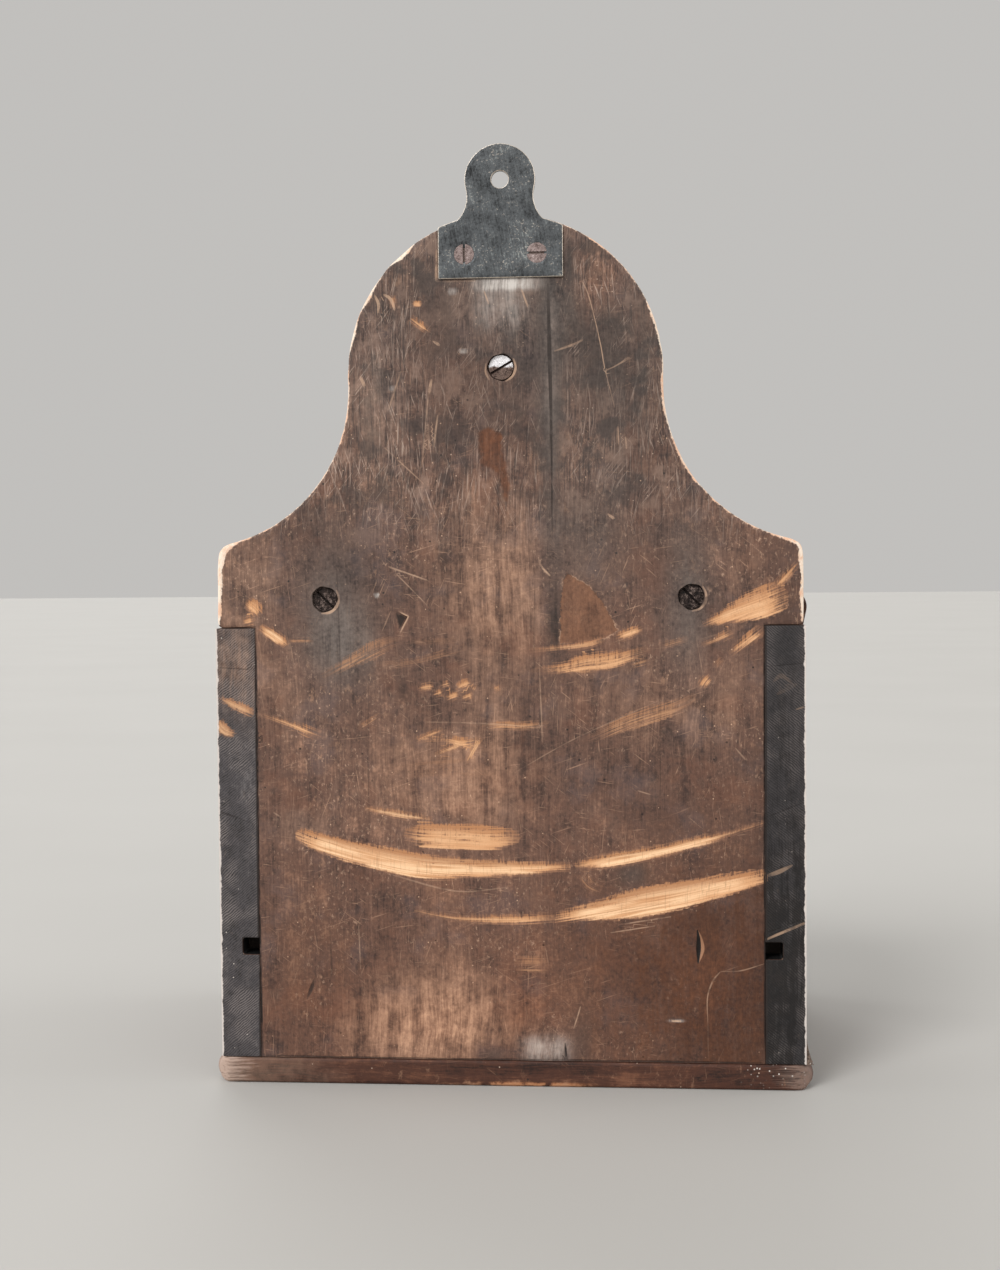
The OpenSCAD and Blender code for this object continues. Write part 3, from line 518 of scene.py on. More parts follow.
def cap(loops, cell, extra):
    """Triangles over the area between loops, on a staggered grid of the given cell."""
    def within(points):
        found = inside(points, loops[0])
        for hole in loops[1:]:
            found &= ~inside(points, hole)
        return found

    low, high = loops[0].min(axis=0), loops[0].max(axis=0)
    xs = np.arange(low[0], high[0], cell)
    ys = np.arange(low[1], high[1], cell * ROW_PITCH)
    grid = np.array([(x + (cell / 2 if row % 2 else 0), y) for row, y in enumerate(ys) for x in xs])
    if len(extra):
        grid = np.vstack([clear_of(grid, extra, cell * EXTRA_GAP), extra])
    rims = np.vstack(loops)
    grid = clear_of(grid[within(grid)], rims, cell * RIM_GAP)
    edges, start = [], 0
    for loop in loops:
        n = len(loop)
        edges += [(start + i, start + (i + 1) % n) for i in range(n)]
        start += n
    flat = [Vector((x, y)) for x, y in np.vstack([rims, grid])]
    made = delaunay_2d_cdt(flat, edges, [], 1, 1e-5, False)
    spots = np.array([(v.x, v.y) for v in made[0]])
    faces = np.array([f for f in made[2] if len(f) == 3])
    return spots, faces[within(spots[faces].mean(axis=1))]


def new_mesh(name, points, faces):
    """A mesh from points in millimetres."""
    mesh = bpy.data.meshes.new(name)
    mesh.from_pydata((np.asarray(points) * MM).tolist(), [], faces)
    return mesh


def link(name, data):
    """A new object in the scene."""
    made = bpy.data.objects.new(name, data)
    bpy.context.collection.objects.link(made)
    return made


def edit(mesh):
    """An editable copy of a mesh."""
    bm = bmesh.new()
    bm.from_mesh(mesh)
    return bm


def finished(bm, mesh, sharp):
    """A new object from an edited mesh, smooth but for edges that turn by more than the sharp angle."""
    bm.to_mesh(mesh)
    bm.free()
    mesh.shade_smooth()
    mesh.set_sharp_from_angle(angle=sharp)
    return link(mesh.name, mesh)


def slab(name, loops, thickness, place, rounding, far_rounding, cells, relief=None, extra=()):
    """A board cut to loops: the first runs anticlockwise round it, the others clockwise round its holes.

    rounding and far_rounding give each loop's edge radius on the near and far face, and cells their mesh
    sizes. place turns (x, y, depth) into the object's space, and relief sinks the near face at (x, y).
    """
    points, faces, count = [], [], 0
    near_rims, far_rims = [], []
    for loop, near, far in zip(loops, rounding, far_rounding):
        n = len(loop)
        normal = inward(loop)
        near = np.broadcast_to(near, n)
        far = np.broadcast_to(far, n)
        rows = [(near * (1 - math.sin(a)), near * (1 - math.cos(a))) for a in EDGE_TURNS]
        rows += [(np.zeros(n), near + (thickness - far - near) * share) for share in WALL_ROWS]
        rows += [(far * (1 - math.sin(a)), thickness - far * (1 - math.cos(a))) for a in EDGE_TURNS[::-1]]
        rings = [np.column_stack([loop + normal * inset[:, None], depth]) for inset, depth in rows]
        near_rims.append(rings[0][:, :2])
        far_rims.append(rings[-1][:, :2])
        points += rings
        for a in range(count, count + n * (len(rings) - 1), n):
            faces += [(a + i, a + (i + 1) % n, a + n + (i + 1) % n, a + n + i) for i in range(n)]
        count += n * len(rings)
    for rims, depth, cell, order, more in (
        (near_rims, 0.0, cells[0], 1, extra),
        (far_rims, thickness, cells[1], -1, ()),
    ):
        spots, triangles = cap(rims, cell, more)
        points.append(np.column_stack([spots, np.full(len(spots), depth)]))
        faces += (triangles[:, ::order] + count).tolist()
        count += len(spots)
    points = np.vstack(points)
    if relief is not None:
        start, end = RELIEF_FADE
        sink = relief(points[:, 0], points[:, 1])
        points[:, 2] += sink * (1 - ease(points[:, 2], start * thickness, end * thickness))
    mesh = new_mesh(name, place(points), faces)
    bm = edit(mesh)
    bmesh.ops.remove_doubles(bm, verts=bm.verts, dist=BOARD_WELD)
    bmesh.ops.recalc_face_normals(bm, faces=bm.faces)
    return finished(bm, mesh, BOARD_SHADING)


def round_edges(bm, wear, low, high, radius, mark):
    """Rounds the sharp edges between two lengths, and marks the wear layer along them."""
    sharp = [
        e for e in bm.edges
        if len(e.link_faces) == 2 and low < e.calc_length() / MM <= high and e.calc_face_angle(0) > SHARP_TURN
    ]
    made = bmesh.ops.bevel(
        bm, geom=sharp, offset=radius * MM, segments=2, profile=0.55, affect="EDGES", loop_slide=True
    )
    rounded = set(made["faces"])
    for v in made["verts"]:
        if all(f in rounded for f in v.link_faces):
            v[wear] = mark


def worn_copy(node, radius, cuts=()):
    """A copy of a node with its edges rounded, and "wear" at 1 along the long ones and -1 along joints.

    cuts are (axis, step): extra cuts across the mesh, so that it can carry marks.
    """
    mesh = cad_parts[node].data.copy()
    mesh.name = node + "_worn"
    mesh.materials.clear()
    bm = edit(mesh)
    wear = bm.verts.layers.float.new("wear")
    bmesh.ops.remove_doubles(bm, verts=bm.verts, dist=COPY_WELD)
    bmesh.ops.dissolve_limit(bm, angle_limit=math.radians(1), verts=bm.verts, edges=bm.edges)
    round_edges(bm, wear, SHORTEST_EDGE, JOINT_EDGE, JOINT_ROUNDING, -1.0)
    round_edges(bm, wear, JOINT_EDGE, LONGEST_EDGE, radius, 1.0)
    bmesh.ops.triangulate(bm, faces=[f for f in bm.faces if len(f.verts) > 4])
    for axis, step in cuts:
        low = min(v.co[axis] for v in bm.verts)
        high = max(v.co[axis] for v in bm.verts)
        normal = Vector([1.0 if i == axis else 0.0 for i in range(3)])
        for at in np.arange(low + step * MM, high - LAST_CUT * MM, step * MM):
            everything = bm.verts[:] + bm.edges[:] + bm.faces[:]
            bmesh.ops.bisect_plane(bm, geom=everything, dist=1e-7, plane_co=normal * at, plane_no=normal)
    return finished(bm, mesh, COPY_SHADING)


# Materials

def srgb(r, g, b):
    """A colour given in the 0 to 255 steps of a picture."""
    part = [c / 255 for c in (r, g, b)]
    return tuple(c / 12.92 if c <= 0.04045 else ((c + 0.055) / 1.055) ** 2.4 for c in part) + (1.0,)


# Colours of bare and dirty wood, and of the wear on the case
PALE = srgb(250, 207, 163)
TAN = srgb(216, 161, 115)
CREAM = srgb(240, 221, 202)
DIRT = srgb(34, 26, 23)
CASE_RUBBED = srgb(150, 112, 88)
CASE_SCRATCHED = srgb(160, 122, 96)
CASE_EDGE = srgb(176, 128, 94)

# How strongly every surface reflects, on the shader's scale
SPECULAR = 0.35
# How far the grain's pattern is squeezed along the wood, so that it comes out long, and how far it drifts
GRAIN_SQUEEZE = 0.045
GRAIN_DRIFT = 11.0
# Distance between the saw marks on the sides' rear edges, and between the rings on turned wood
SAW_PITCH = 0.8
RING_PITCH = 1.3
# Heights between which the back turns from even wood to the arch's blotches and scratches
ARCH_RISE = (195, 235)


class Value:
    """An output of a node, which the usual signs of arithmetic work on."""

    def __init__(self, graph, socket):
        self.graph = graph
        self.socket = socket

    def __add__(self, other):
        return self.graph.math("ADD", self, other)

    def __sub__(self, other):
        return self.graph.math("SUBTRACT", self, other)

    def __rsub__(self, other):
        return self.graph.math("SUBTRACT", other, self)

    def __mul__(self, other):
        return self.graph.math("MULTIPLY", self, other)

    def __truediv__(self, other):
        return self.graph.math("DIVIDE", self, other)

    def __abs__(self):
        return self.graph.math("ABSOLUTE", self)

    __radd__ = __add__
    __rmul__ = __mul__


class Graph:
    """A material built from nodes; what its methods return are Values."""

    def __init__(self, name):
        self.material = bpy.data.materials.new(name)
        self.material.use_nodes = True
        self.tree = self.material.node_tree
        self.tree.nodes.clear()
        self.mm = self.vector("MULTIPLY", self.add("TexCoord", output="Object"), [1 / MM] * 3)

    def node(self, kind, inputs=(), **settings):
        """A new node; inputs are pairs of a socket's number or name and the Value or constant for it."""
        made = self.tree.nodes.new("ShaderNode" + kind)
        for name, setting in settings.items():
            setattr(made, name, setting)
        for socket, value in inputs:
            if isinstance(value, Value):
                self.tree.links.new(value.socket, made.inputs[socket])
            else:
                made.inputs[socket].default_value = value
        return made

    def add(self, kind, inputs=(), output=0, **settings):
        """An output of a new node."""
        return Value(self, self.node(kind, inputs, **settings).outputs[output])

    def math(self, operation, *values):
        return self.add("Math", enumerate(values), operation=operation)

    def vector(self, operation, *values):
        return self.add("VectorMath", enumerate(values), operation=operation)

    def parts(self, vector):
        return [Value(self, socket) for socket in self.node("SeparateXYZ", [(0, vector)]).outputs]

    def join(self, *parts):
        return self.add("CombineXYZ", enumerate(parts))

    def turn(self, vector, degrees):
        """A vector turned about the object's y axis."""
        inputs = [("Vector", vector), ("Rotation", (0, math.radians(degrees), 0))]
        return self.add("VectorRotate", inputs, rotation_type="EULER_XYZ")

    def attribute(self, name, output="Fac"):
        return self.add("Attribute", output=output, attribute_name=name)

    def noise(self, vector, scale, detail=3.0, rough=0.55):
        inputs = [("Vector", vector), ("Scale", scale), ("Detail", detail), ("Roughness", rough)]
        return self.add("TexNoise", inputs, "Fac")

    def cells(self, vector, scale, output="Distance"):
        return self.add("TexVoronoi", [("Vector", vector), ("Scale", scale)], output)

    def ease(self, value, low, high, to_low=0.0, to_high=1.0):
        """A soft rise from to_low, where the value is low, to to_high, where it is high."""
        inputs = enumerate((value, low, high, to_low, to_high))
        return self.add("MapRange", inputs, interpolation_type="SMOOTHSTEP")

    def mix(self, factor, a, b, blend="MIX"):
        """Colour a turned into b by a factor, which is held between 0 and 1."""
        inputs = [(0, factor), (6, a), (7, b)]
        return self.add("Mix", inputs, 2, data_type="RGBA", blend_type=blend, clamp_factor=True)

    def bump(self, height, strength):
        return self.add("Bump", [("Height", height), ("Strength", strength), ("Distance", MM)])

    def finish(self, color, roughness, normal=None, metallic=0.0):
        inputs = [("Base Color", color), ("Roughness", roughness), ("Metallic", metallic)]
        inputs.append(("Specular IOR Level", SPECULAR))
        if normal is not None:
            inputs.append(("Normal", normal))
        self.node("OutputMaterial", [("Surface", self.add("BsdfPrincipled", inputs))])
        return self.material


class Wood(Graph):
    """Old dark wood, with its grain along one axis of the object.

    shares weigh what its tone is made of: bands, fibres, blotches, mottling and grit.
    """

    def __init__(self, name, axis, dark, mid, light, seed=0.0, shares=(0.9, 1.1, 0.8, 0.7, 0.6)):
        super().__init__(name)
        stretch = [GRAIN_SQUEEZE if i == axis else 1.0 for i in range(3)]
        sideways = [0.0 if i == axis else GRAIN_DRIFT for i in range(3)]
        self.place = self.vector("ADD", self.mm, (seed, seed * 1.7, seed * 0.6))
        drift = self.vector("MULTIPLY", self.noise(self.place, 0.013, 2) - 0.5, sideways)
        grain = self.vector("MULTIPLY", self.vector("ADD", self.place, drift), stretch)
        self.bands = self.noise(grain, 0.22, 2.0)
        self.fibres = self.noise(grain, 1.5, 4.0, 0.7)
        blotches = self.noise(self.place, 0.028)
        self.mottle = self.noise(self.place, 0.16, 4.0, 0.65)
        self.grit = self.noise(self.place, 0.7, 5.0, 0.7)
        tone = 0.33 - sum(shares) / 2
        for part, share in zip((self.bands, self.fibres, blotches, self.mottle, self.grit), shares):
            tone = part * share + tone
        self.tone = tone * 1.25 + 0.10
        self.color = self.mix(self.ease(self.tone, 0.0, 0.6), dark, mid)
        self.lay(self.ease(self.tone, 0.55, 1.25), light)
        self.height = self.grit * 0.06 + self.fibres * 0.12
        self.rough = self.ease(self.mottle, 0.3, 0.7, 0.56, 0.74)

    def lay(self, mask, color, blend="MIX"):
        """Lays a colour over the wood, as strongly as the mask says."""
        self.color = self.mix(mask, self.color, color, blend)

    def scratches(self, color, amount, low=0.70, angles=(4, 24, -52, 71, 83, 98, -9), share=1.0):
        """Hair-fine scratches, each set at its own slant to the upright, stronger where share is higher."""
        for i, angle in enumerate(angles):
            line = self.vector("MULTIPLY", self.turn(self.place, angle), (2.2, 2.2, 0.06 + 0.02 * (i % 3)))
            line = self.noise(self.vector("ADD", line, (i * 31.0, 0, 0)), 1.0, 1.0)
            where = self.noise(self.vector("ADD", self.place, (0, 0, i * 57.0)), 0.04, 2)
            fine = self.ease(line, low, low + 0.08) * self.ease(where, 0.45, 0.6)
            self.lay(fine * share * amount, color)

    def rubbed(self, color, amount, scale=0.33, low=0.58):
        """Small ragged patches where the dark surface is rubbed away."""
        chips = self.noise(self.vector("MULTIPLY", self.place, (1.0, 1.0, 0.6)), scale, 6.0, 0.72)
        where = self.ease(self.noise(self.place, 0.03), 0.42, 0.62, 0.25, 1.0)
        self.lay(self.ease(chips, low, low + 0.1) * where * amount, color)

    def specks(self, color, scale, radius, share, where=1.0):
        """Small dots of dirt or bare wood on a share of the cells, as strong as where says."""
        dot = self.ease(self.cells(self.place, scale), radius, radius * 0.5)
        drawn = self.parts(self.cells(self.place, scale, "Color"))[0]
        self.lay(dot * self.ease(drawn, share + 0.02, share) * where, color)

    def worn_edges(self, color, strength):
        """Paler wood along the long edges that worn_copy rounds, and dirt along its joints."""
        wear = self.attribute("wear")
        self.lay(self.ease(wear + (self.mottle * 1.6 - 0.95), 0.3, 0.75) * strength, color)
        self.lay(self.ease(wear, -0.05, -0.6), DIRT)

    def done(self):
        return self.finish(self.color, self.rough, self.bump(self.height, 0.8))


def stroke_depth(g, name, ragged, wider=0.0, most=0.0, cap=9.0, swell=1.0):
    """How far in millimetres a surface point lies inside a stroke, frayed by streaks that run along it.

    Its edge is ragged by so much, and by a share of its half width on top, up to most. The depth before
    fraying is held under cap. With it come the streaks' own space, the place across and the half width.
    """
    along, across, half = g.parts(g.attribute(name, "Vector"))
    run = g.join(along * 0.05, across, 0.0)
    streaks = g.noise(run, 0.9, 5.0, 0.75) - 0.5
    depth = g.math("MINIMUM", half * swell - abs(across), cap)
    fray = g.math("MINIMUM", half * wider + ragged, ragged + most)
    return streaks * fray + depth, run, across, half


def lay_tints(g, red_share):
    """Soft changes of tone, pale bloom and the stain."""
    light, red, grey = g.parts(g.attribute("tint", "Vector"))
    broken = (g.fibres + g.bands + g.mottle) * 0.4
    lift = light * g.ease(broken, 0.45, 0.76, 0.3, 1.6)
    g.lay(lift * -1.6, (0.18, 0.16, 0.15, 1.0), "MULTIPLY")
    for amount, low, high in (
        (lift, srgb(166, 122, 96), srgb(232, 188, 156)),
        (red * red_share, srgb(62, 30, 18), srgb(158, 98, 64)),
        (grey * 0.75, srgb(44, 38, 37), srgb(140, 127, 119)),
    ):
        g.lay(amount, g.mix(g.tone, low, high))
    g.lay(g.attribute("chalk") * g.ease(broken, 0.47, 0.73, 0.35, 1.5), srgb(206, 199, 192))
    soaked = g.ease((g.mottle - 0.5) * 3.0 + g.attribute("stain"), -0.8, 0.8, 0.0, 0.75)
    g.lay(soaked, g.mix(g.tone, srgb(52, 28, 16), srgb(120, 70, 40)))


def lay_flake(g):
    """Redder wood where a layer has come away, with a pale lip round it that is a painted edge highlight."""
    torn = (g.grit - 0.5) * 3.0 + g.attribute("flake")
    gone = g.ease(torn, -0.12, 0.12)
    g.lay(gone * 0.75, g.mix(g.tone, srgb(84, 54, 38), srgb(150, 104, 76)))
    # Painted highlight: a pale line round the edge of the flake
    lip = g.ease(torn, -0.7, -0.2) * g.ease(torn, 0.1, -0.1)
    g.lay(lip * g.ease(g.mottle, 0.5, 0.62, 0.0, 0.6), srgb(190, 150, 122))
    g.height -= gone * 0.12


def lay_scrapes(g, fresh_share):
    """Torn-up scrapes: brushed brown at the edges and frayed tips, pale and hairy where they are deep."""
    power = g.attribute("scrape_power")
    depth, run, across, half = stroke_depth(g, "scrape", 1.3, 1.6, 4.6, cap=power * 2.6 - 0.7, swell=1.22)
    hairs = g.noise(g.vector("MULTIPLY", run, (0.5, 2.0, 1.0)), 1.0, 4.0, 0.7)
    depth += (hairs - 0.52) * g.math("MINIMUM", power * -10.0 + 10.0, 4.2)
    depth += (g.fibres - 0.5) * g.ease(across, -0.5, 1.5, 1.8, 6.0)
    depth += (g.grit - 0.5) * 1.4
    strength = g.ease(power, 0.0, 0.7, 0.2, 1.0) * g.ease(half, 0.2, 1.6, 0.5, 1.0)
    brushed = g.ease(depth, -1.5, 0.6) * g.ease(hairs, 0.32, 0.66)
    g.lay(brushed * (strength * 0.8), srgb(166, 120, 90))
    cut = g.ease(depth, 0.0, 0.9) * (strength * g.ease(power, 0.25, 0.6))
    patches = g.noise(g.vector("MULTIPLY", run, (0.7, 0.35, 1.0)), 1.0, 2.0)
    palest = g.ease(hairs + patches, 0.78, 1.2) * g.ease(power, 0.7, 1.0, 0.2, 1.0)
    fresh = g.mix(palest, TAN, PALE)
    for part, low, full, share, shade in (
        (hairs, 0.47, 0.36, 0.5, srgb(170, 114, 74)),
        # Painted shade: tan towards each scrape's upper side, paler towards its lower side
        (across / g.math("MAXIMUM", half, 0.4), 0.0, 0.9, 0.75, srgb(176, 120, 80)),
        (depth, 1.5, 0.3, 0.6, srgb(178, 124, 84)),
        (g.fibres, 0.52, 0.70, 0.4, srgb(142, 96, 66)),
    ):
        fresh = g.mix(g.ease(part, low, full, 0.0, share), fresh, shade)
    g.lay(cut * fresh_share, fresh)
    g.height += cut * -0.12
    g.height += hairs * cut * 0.16


def lay_lines(g):
    """Fine scratches, with painted highlights by the hanger plate, and cracks."""
    for name, ragged, soft, full, least, color, sink in (
        ("scratch_and_highlight", 0.5, 0.14, 0.52, 0.3, srgb(206, 170, 142), 0.08),
        ("crack", 0.8, 0.25, 0.56, 0.35, DIRT, 0.2),
    ):
        depth = stroke_depth(g, name, ragged)[0]
        line = g.ease(depth, -soft, soft) * g.attribute(name + "_power")
        line *= g.ease(g.mottle, 0.34, full, least, 1.0)
        g.lay(line, color)
        g.height -= line * sink


def lay_dent_and_slit(g):
    """Dirt in the dent, with a pale broken edge on its right, and the slit with painted shade on one side and
    painted light on the other.
    """
    dent = g.attribute("dent")
    g.lay(g.ease(dent, -0.1, 0.9, 0.0, 0.9), DIRT)
    lip = g.ease(dent, -0.8, -0.2) * g.ease(dent, 0.1, -0.1)
    g.lay(lip * g.ease(g.parts(g.mm)[0], 40.5, 38.5), srgb(186, 152, 126))
    depth, _, across, _ = stroke_depth(g, "slit", 0.3)
    # Painted shade on the slit's deep side and painted light on its other side
    split = g.mix(g.ease(across, 0.1, 0.5), srgb(20, 15, 13), srgb(164, 120, 92))
    g.lay(g.ease(depth, -0.15, 0.15), split)


def lay_marks(g, fresh_share=1.0, red_share=0.5):
    """Lays the rear's marks over a wood.

    fresh_share and red_share are how much of the scrapes' fresh colour and of the red tone shows.
    """
    lay_tints(g, red_share)
    lay_flake(g)
    lay_scrapes(g, fresh_share)
    lay_lines(g)
    lay_dent_and_slit(g)


def lay_bare_rim(g):
    """Bare wood along the rim, cream to tan, with a ragged inner edge."""
    worn = g.attribute("bare") + (g.mottle - 0.5) * 2.0 + (g.grit - 0.5) * 2.0
    pale = g.mix(g.ease(g.mottle, 0.42, 0.62), CREAM, srgb(226, 184, 156))
    pale = g.mix(g.ease(g.grit * 0.6 + g.fibres * 0.4, 0.5, 0.64, 0.0, 0.5), pale, TAN)
    g.lay(g.ease(worn, -0.15, 0.35), pale)


def back_wood():
    tones = srgb(62, 45, 39), srgb(102, 75, 63), srgb(160, 121, 99)
    g = Wood("back_wood", 2, *tones, shares=(0.6, 0.6, 0.8, 0.9, 1.0))
    hue = g.noise(g.place, 0.05, 4.0, 0.6)
    g.lay(g.ease(hue, 0.52, 0.68, 0.0, 0.35), srgb(122, 80, 60))
    g.lay(g.ease(hue, 0.48, 0.32, 0.0, 0.35), srgb(100, 87, 87))
    g.rubbed(srgb(164, 126, 101), 0.6)
    g.rubbed(srgb(184, 150, 126), 0.75, scale=0.9, low=0.565)
    g.scratches(srgb(184, 146, 120), 0.55)
    height = g.parts(g.mm)[2]
    high = g.ease(height, *ARCH_RISE)
    g.scratches(srgb(190, 166, 150), 0.75, low=0.64, angles=(1, -5, 8, 15, -20, 38), share=high)
    g.specks(srgb(206, 178, 156), 0.55, 0.16, 0.22, where=high)
    patch = g.noise(g.place, 0.075, 5.0, 0.6)
    most = g.ease(height, *ARCH_RISE, 0.14, 1.0)
    for part, low, full, share, shade in (
        (g.fibres, 0.50, 0.36, 0.72, srgb(38, 28, 26)),
        (g.fibres, 0.56, 0.70, 0.60, srgb(174, 146, 130)),
        (patch, 0.50, 0.38, 0.75, srgb(52, 42, 39)),
        (patch, 0.54, 0.66, 0.55, srgb(162, 132, 115)),
    ):
        g.lay(g.ease(part, low, full, 0.0, share) * most, shade)
    g.specks(srgb(200, 164, 136), 0.30, 0.10, 0.25)
    g.specks(DIRT, 0.22, 0.12, 0.25)
    lay_marks(g)
    lay_bare_rim(g)
    return g.done()


def end_wood():
    """The sides' rear edges: dark grey, with saw marks that slant down from the middle, and a pale arris."""
    tones = srgb(24, 22, 24), srgb(56, 53, 56), srgb(106, 101, 101)
    g = Wood("end_wood", 2, *tones, 90.0, shares=(0.4, 0.5, 0.9, 0.9, 1.2))
    mirrored = g.vector("ABSOLUTE", g.mm)
    slanted = g.parts(g.turn(mirrored, -40))[2]
    phase = slanted * (2 * math.pi / SAW_PITCH) + g.noise(g.place, 0.25) * 14.0
    teeth = g.math("SINE", phase) * 0.5 + 0.5
    seen = g.ease(g.noise(g.place, 0.09), 0.4, 0.62, 0.25, 0.85)
    g.lay(teeth * seen, srgb(122, 113, 110))
    g.rubbed(srgb(126, 112, 103), 0.5)
    g.specks(srgb(186, 176, 168), 0.4, 0.13, 0.12)
    g.height += teeth * 0.05
    lay_marks(g, fresh_share=0.7, red_share=0.0)
    # Darker towards the right side's end, seen from behind
    g.lay(g.ease(g.parts(g.mm)[0], -90, -96, 0.0, 0.35), srgb(14, 12, 12))
    g.worn_edges(srgb(178, 166, 156), 0.55)
    out = g.parts(mirrored)[0] + (g.grit - 0.5) + (g.mottle - 0.5) * 1.6
    g.lay(g.ease(out, BOX_W / 2 - 0.8, BOX_W / 2 - 0.4, 0.0, 0.9), srgb(220, 210, 203))
    return g.done()


def groove_painted_shade(g):
    """Painted shade: near black inside the shelf grooves, where they run out at the back, for the dark of the
    deep holes.
    """
    x, y, z = g.parts(g.mm)
    low, high = SHELF_Z
    level = g.ease(z, low - 0.4, low - 0.1) * g.ease(z, high + 0.4, high + 0.1)
    reach = g.ease(abs(x), GROOVE_X + 0.3, GROOVE_X + 0.1) * g.ease(y, REAR_Y - 16, REAR_Y - 9)
    # Painted shade: near black inside the grooves, back from the rear face
    g.lay(level * reach * g.ease(y, REAR_Y - 0.2, REAR_Y - 1.0), srgb(9, 8, 8))


def case_wood(name, axis, seed):
    g = Wood(name, axis, srgb(48, 30, 23), srgb(88, 58, 45), srgb(134, 98, 78), seed)
    g.rubbed(CASE_RUBBED, 0.6)
    g.scratches(CASE_SCRATCHED, 0.45)
    g.specks(srgb(168, 138, 116), 0.31, 0.10, 0.08)
    g.specks(DIRT, 0.18, 0.10, 0.2)
    g.worn_edges(CASE_EDGE, 0.8)
    groove_painted_shade(g)
    return g.done()


def turned_wood(node, seed):
    """Wood turned on a lathe: fine rings about the node's axis, and a rim that hands have rubbed pale."""
    low, high = np.array(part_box(node)) / MM
    edge = (high[2] - low[2]) / 2
    g = Wood(node + "_wood", 1, srgb(46, 28, 21), srgb(92, 60, 45), srgb(150, 110, 86), seed)
    x, _, z = g.parts(g.vector("SUBTRACT", g.mm, tuple((low + high) / 2)))
    radius = g.math("SQRT", x * x + z * z)
    rings = g.math("SINE", radius * (2 * math.pi / RING_PITCH)) * 0.5 + 0.5
    g.lay(rings * 0.25, srgb(40, 25, 19))
    g.rubbed(srgb(160, 118, 92), 0.6, scale=0.6)
    g.specks(DIRT, 0.3, 0.10, 0.2)
    g.lay(g.ease((g.mottle - 0.5) * 2.4 + radius, edge - 1.6, edge - 0.4, 0.0, 0.65), CASE_EDGE)
    g.height += rings * 0.05
    g.rough = g.ease(g.mottle, 0.3, 0.7, 0.36, 0.58)
    return g.done()


def base_wood():
    """The base: redder, scuffed pale at one end, with the lower arris worn orange near the middle."""
    g = Wood("base_wood", 0, srgb(38, 21, 15), srgb(75, 44, 32), srgb(118, 77, 56), 12.0)
    x, y, z = g.parts(g.mm)
    scuffed = g.ease(g.mottle * 70.0 + x, 90.0, 145.0)
    scuffed *= g.ease((g.mottle - 0.5) * 60.0 + y, REAR_Y - 36, REAR_Y - 4)
    g.lay(scuffed * 0.32, srgb(166, 134, 114))
    tips = g.ease((g.fibres - 0.5) * 34.0 + abs(x), BASE_W / 2 - 15, BASE_W / 2 - 3)
    tips *= g.ease(y, REAR_Y - 8, REAR_Y - 2) * g.ease(x, -40, 40, 0.25, 0.6)
    g.lay(tips, srgb(206, 181, 166))
    g.rubbed(CASE_RUBBED, 0.5)
    g.scratches(CASE_SCRATCHED, 0.2)
    chips = g.ease(x, -80.0, -96.0) * g.ease(z, 4.5, 7.0, 0.15, 1.0) * g.ease(y, REAR_Y - 12, REAR_Y - 4)
    g.specks(srgb(226, 216, 206), 0.85, 0.34, 0.36, where=chips)
    g.specks(srgb(190, 164, 144), 0.31, 0.12, 0.07)
    g.specks(DIRT, 0.18, 0.10, 0.2)
    orange = g.ease(z, 2.2, 0.9) * g.ease(abs(x + 8.0), 26.0, 8.0) * g.ease(g.mottle, 0.42, 0.56)
    g.lay(orange, srgb(202, 132, 82))
    g.worn_edges(srgb(176, 132, 102), 0.8)
    return g.done()


def inner_wood(name, axis, seed):
    g = Wood(name, axis, srgb(96, 70, 50), srgb(140, 106, 78), srgb(176, 140, 108), seed)
    g.specks(DIRT, 0.12, 0.08, 0.12)
    g.worn_edges(srgb(190, 156, 122), 0.6)
    groove_painted_shade(g)
    return g.done()


def tarnished_brass(name, dark, mid, bright, edge):
    g = Graph(name)
    cloud = g.noise(g.mm, 0.12, 4.0, 0.6)
    grain = g.noise(g.mm, 1.1, 4.0, 0.7)
    scuff = g.noise(g.vector("MULTIPLY", g.turn(g.mm, 80), (0.2, 1, 3.0)), 0.9, 4.0)
    tone = (grain * 0.8 + scuff * 0.6 + cloud * 0.9 - 1.15) * 1.15 + 0.5
    color = g.mix(g.ease(tone, 0.1, 0.6), dark, mid)
    color = g.mix(g.ease(tone, 0.6, 0.95), color, bright)
    fleck = g.ease(g.noise(g.mm, 1.6, 2.0), 0.60, 0.70) * g.ease(cloud, 0.44, 0.6)
    color = g.mix(fleck * 0.5, color, edge)
    color = g.mix(g.ease(g.attribute("wear") + (grain * 1.2 - 0.7), 0.45, 0.8), color, edge)
    return g.finish(color, g.ease(cloud, 0.35, 0.65, 0.36, 0.55), g.bump(grain, 0.12), metallic=0.75)


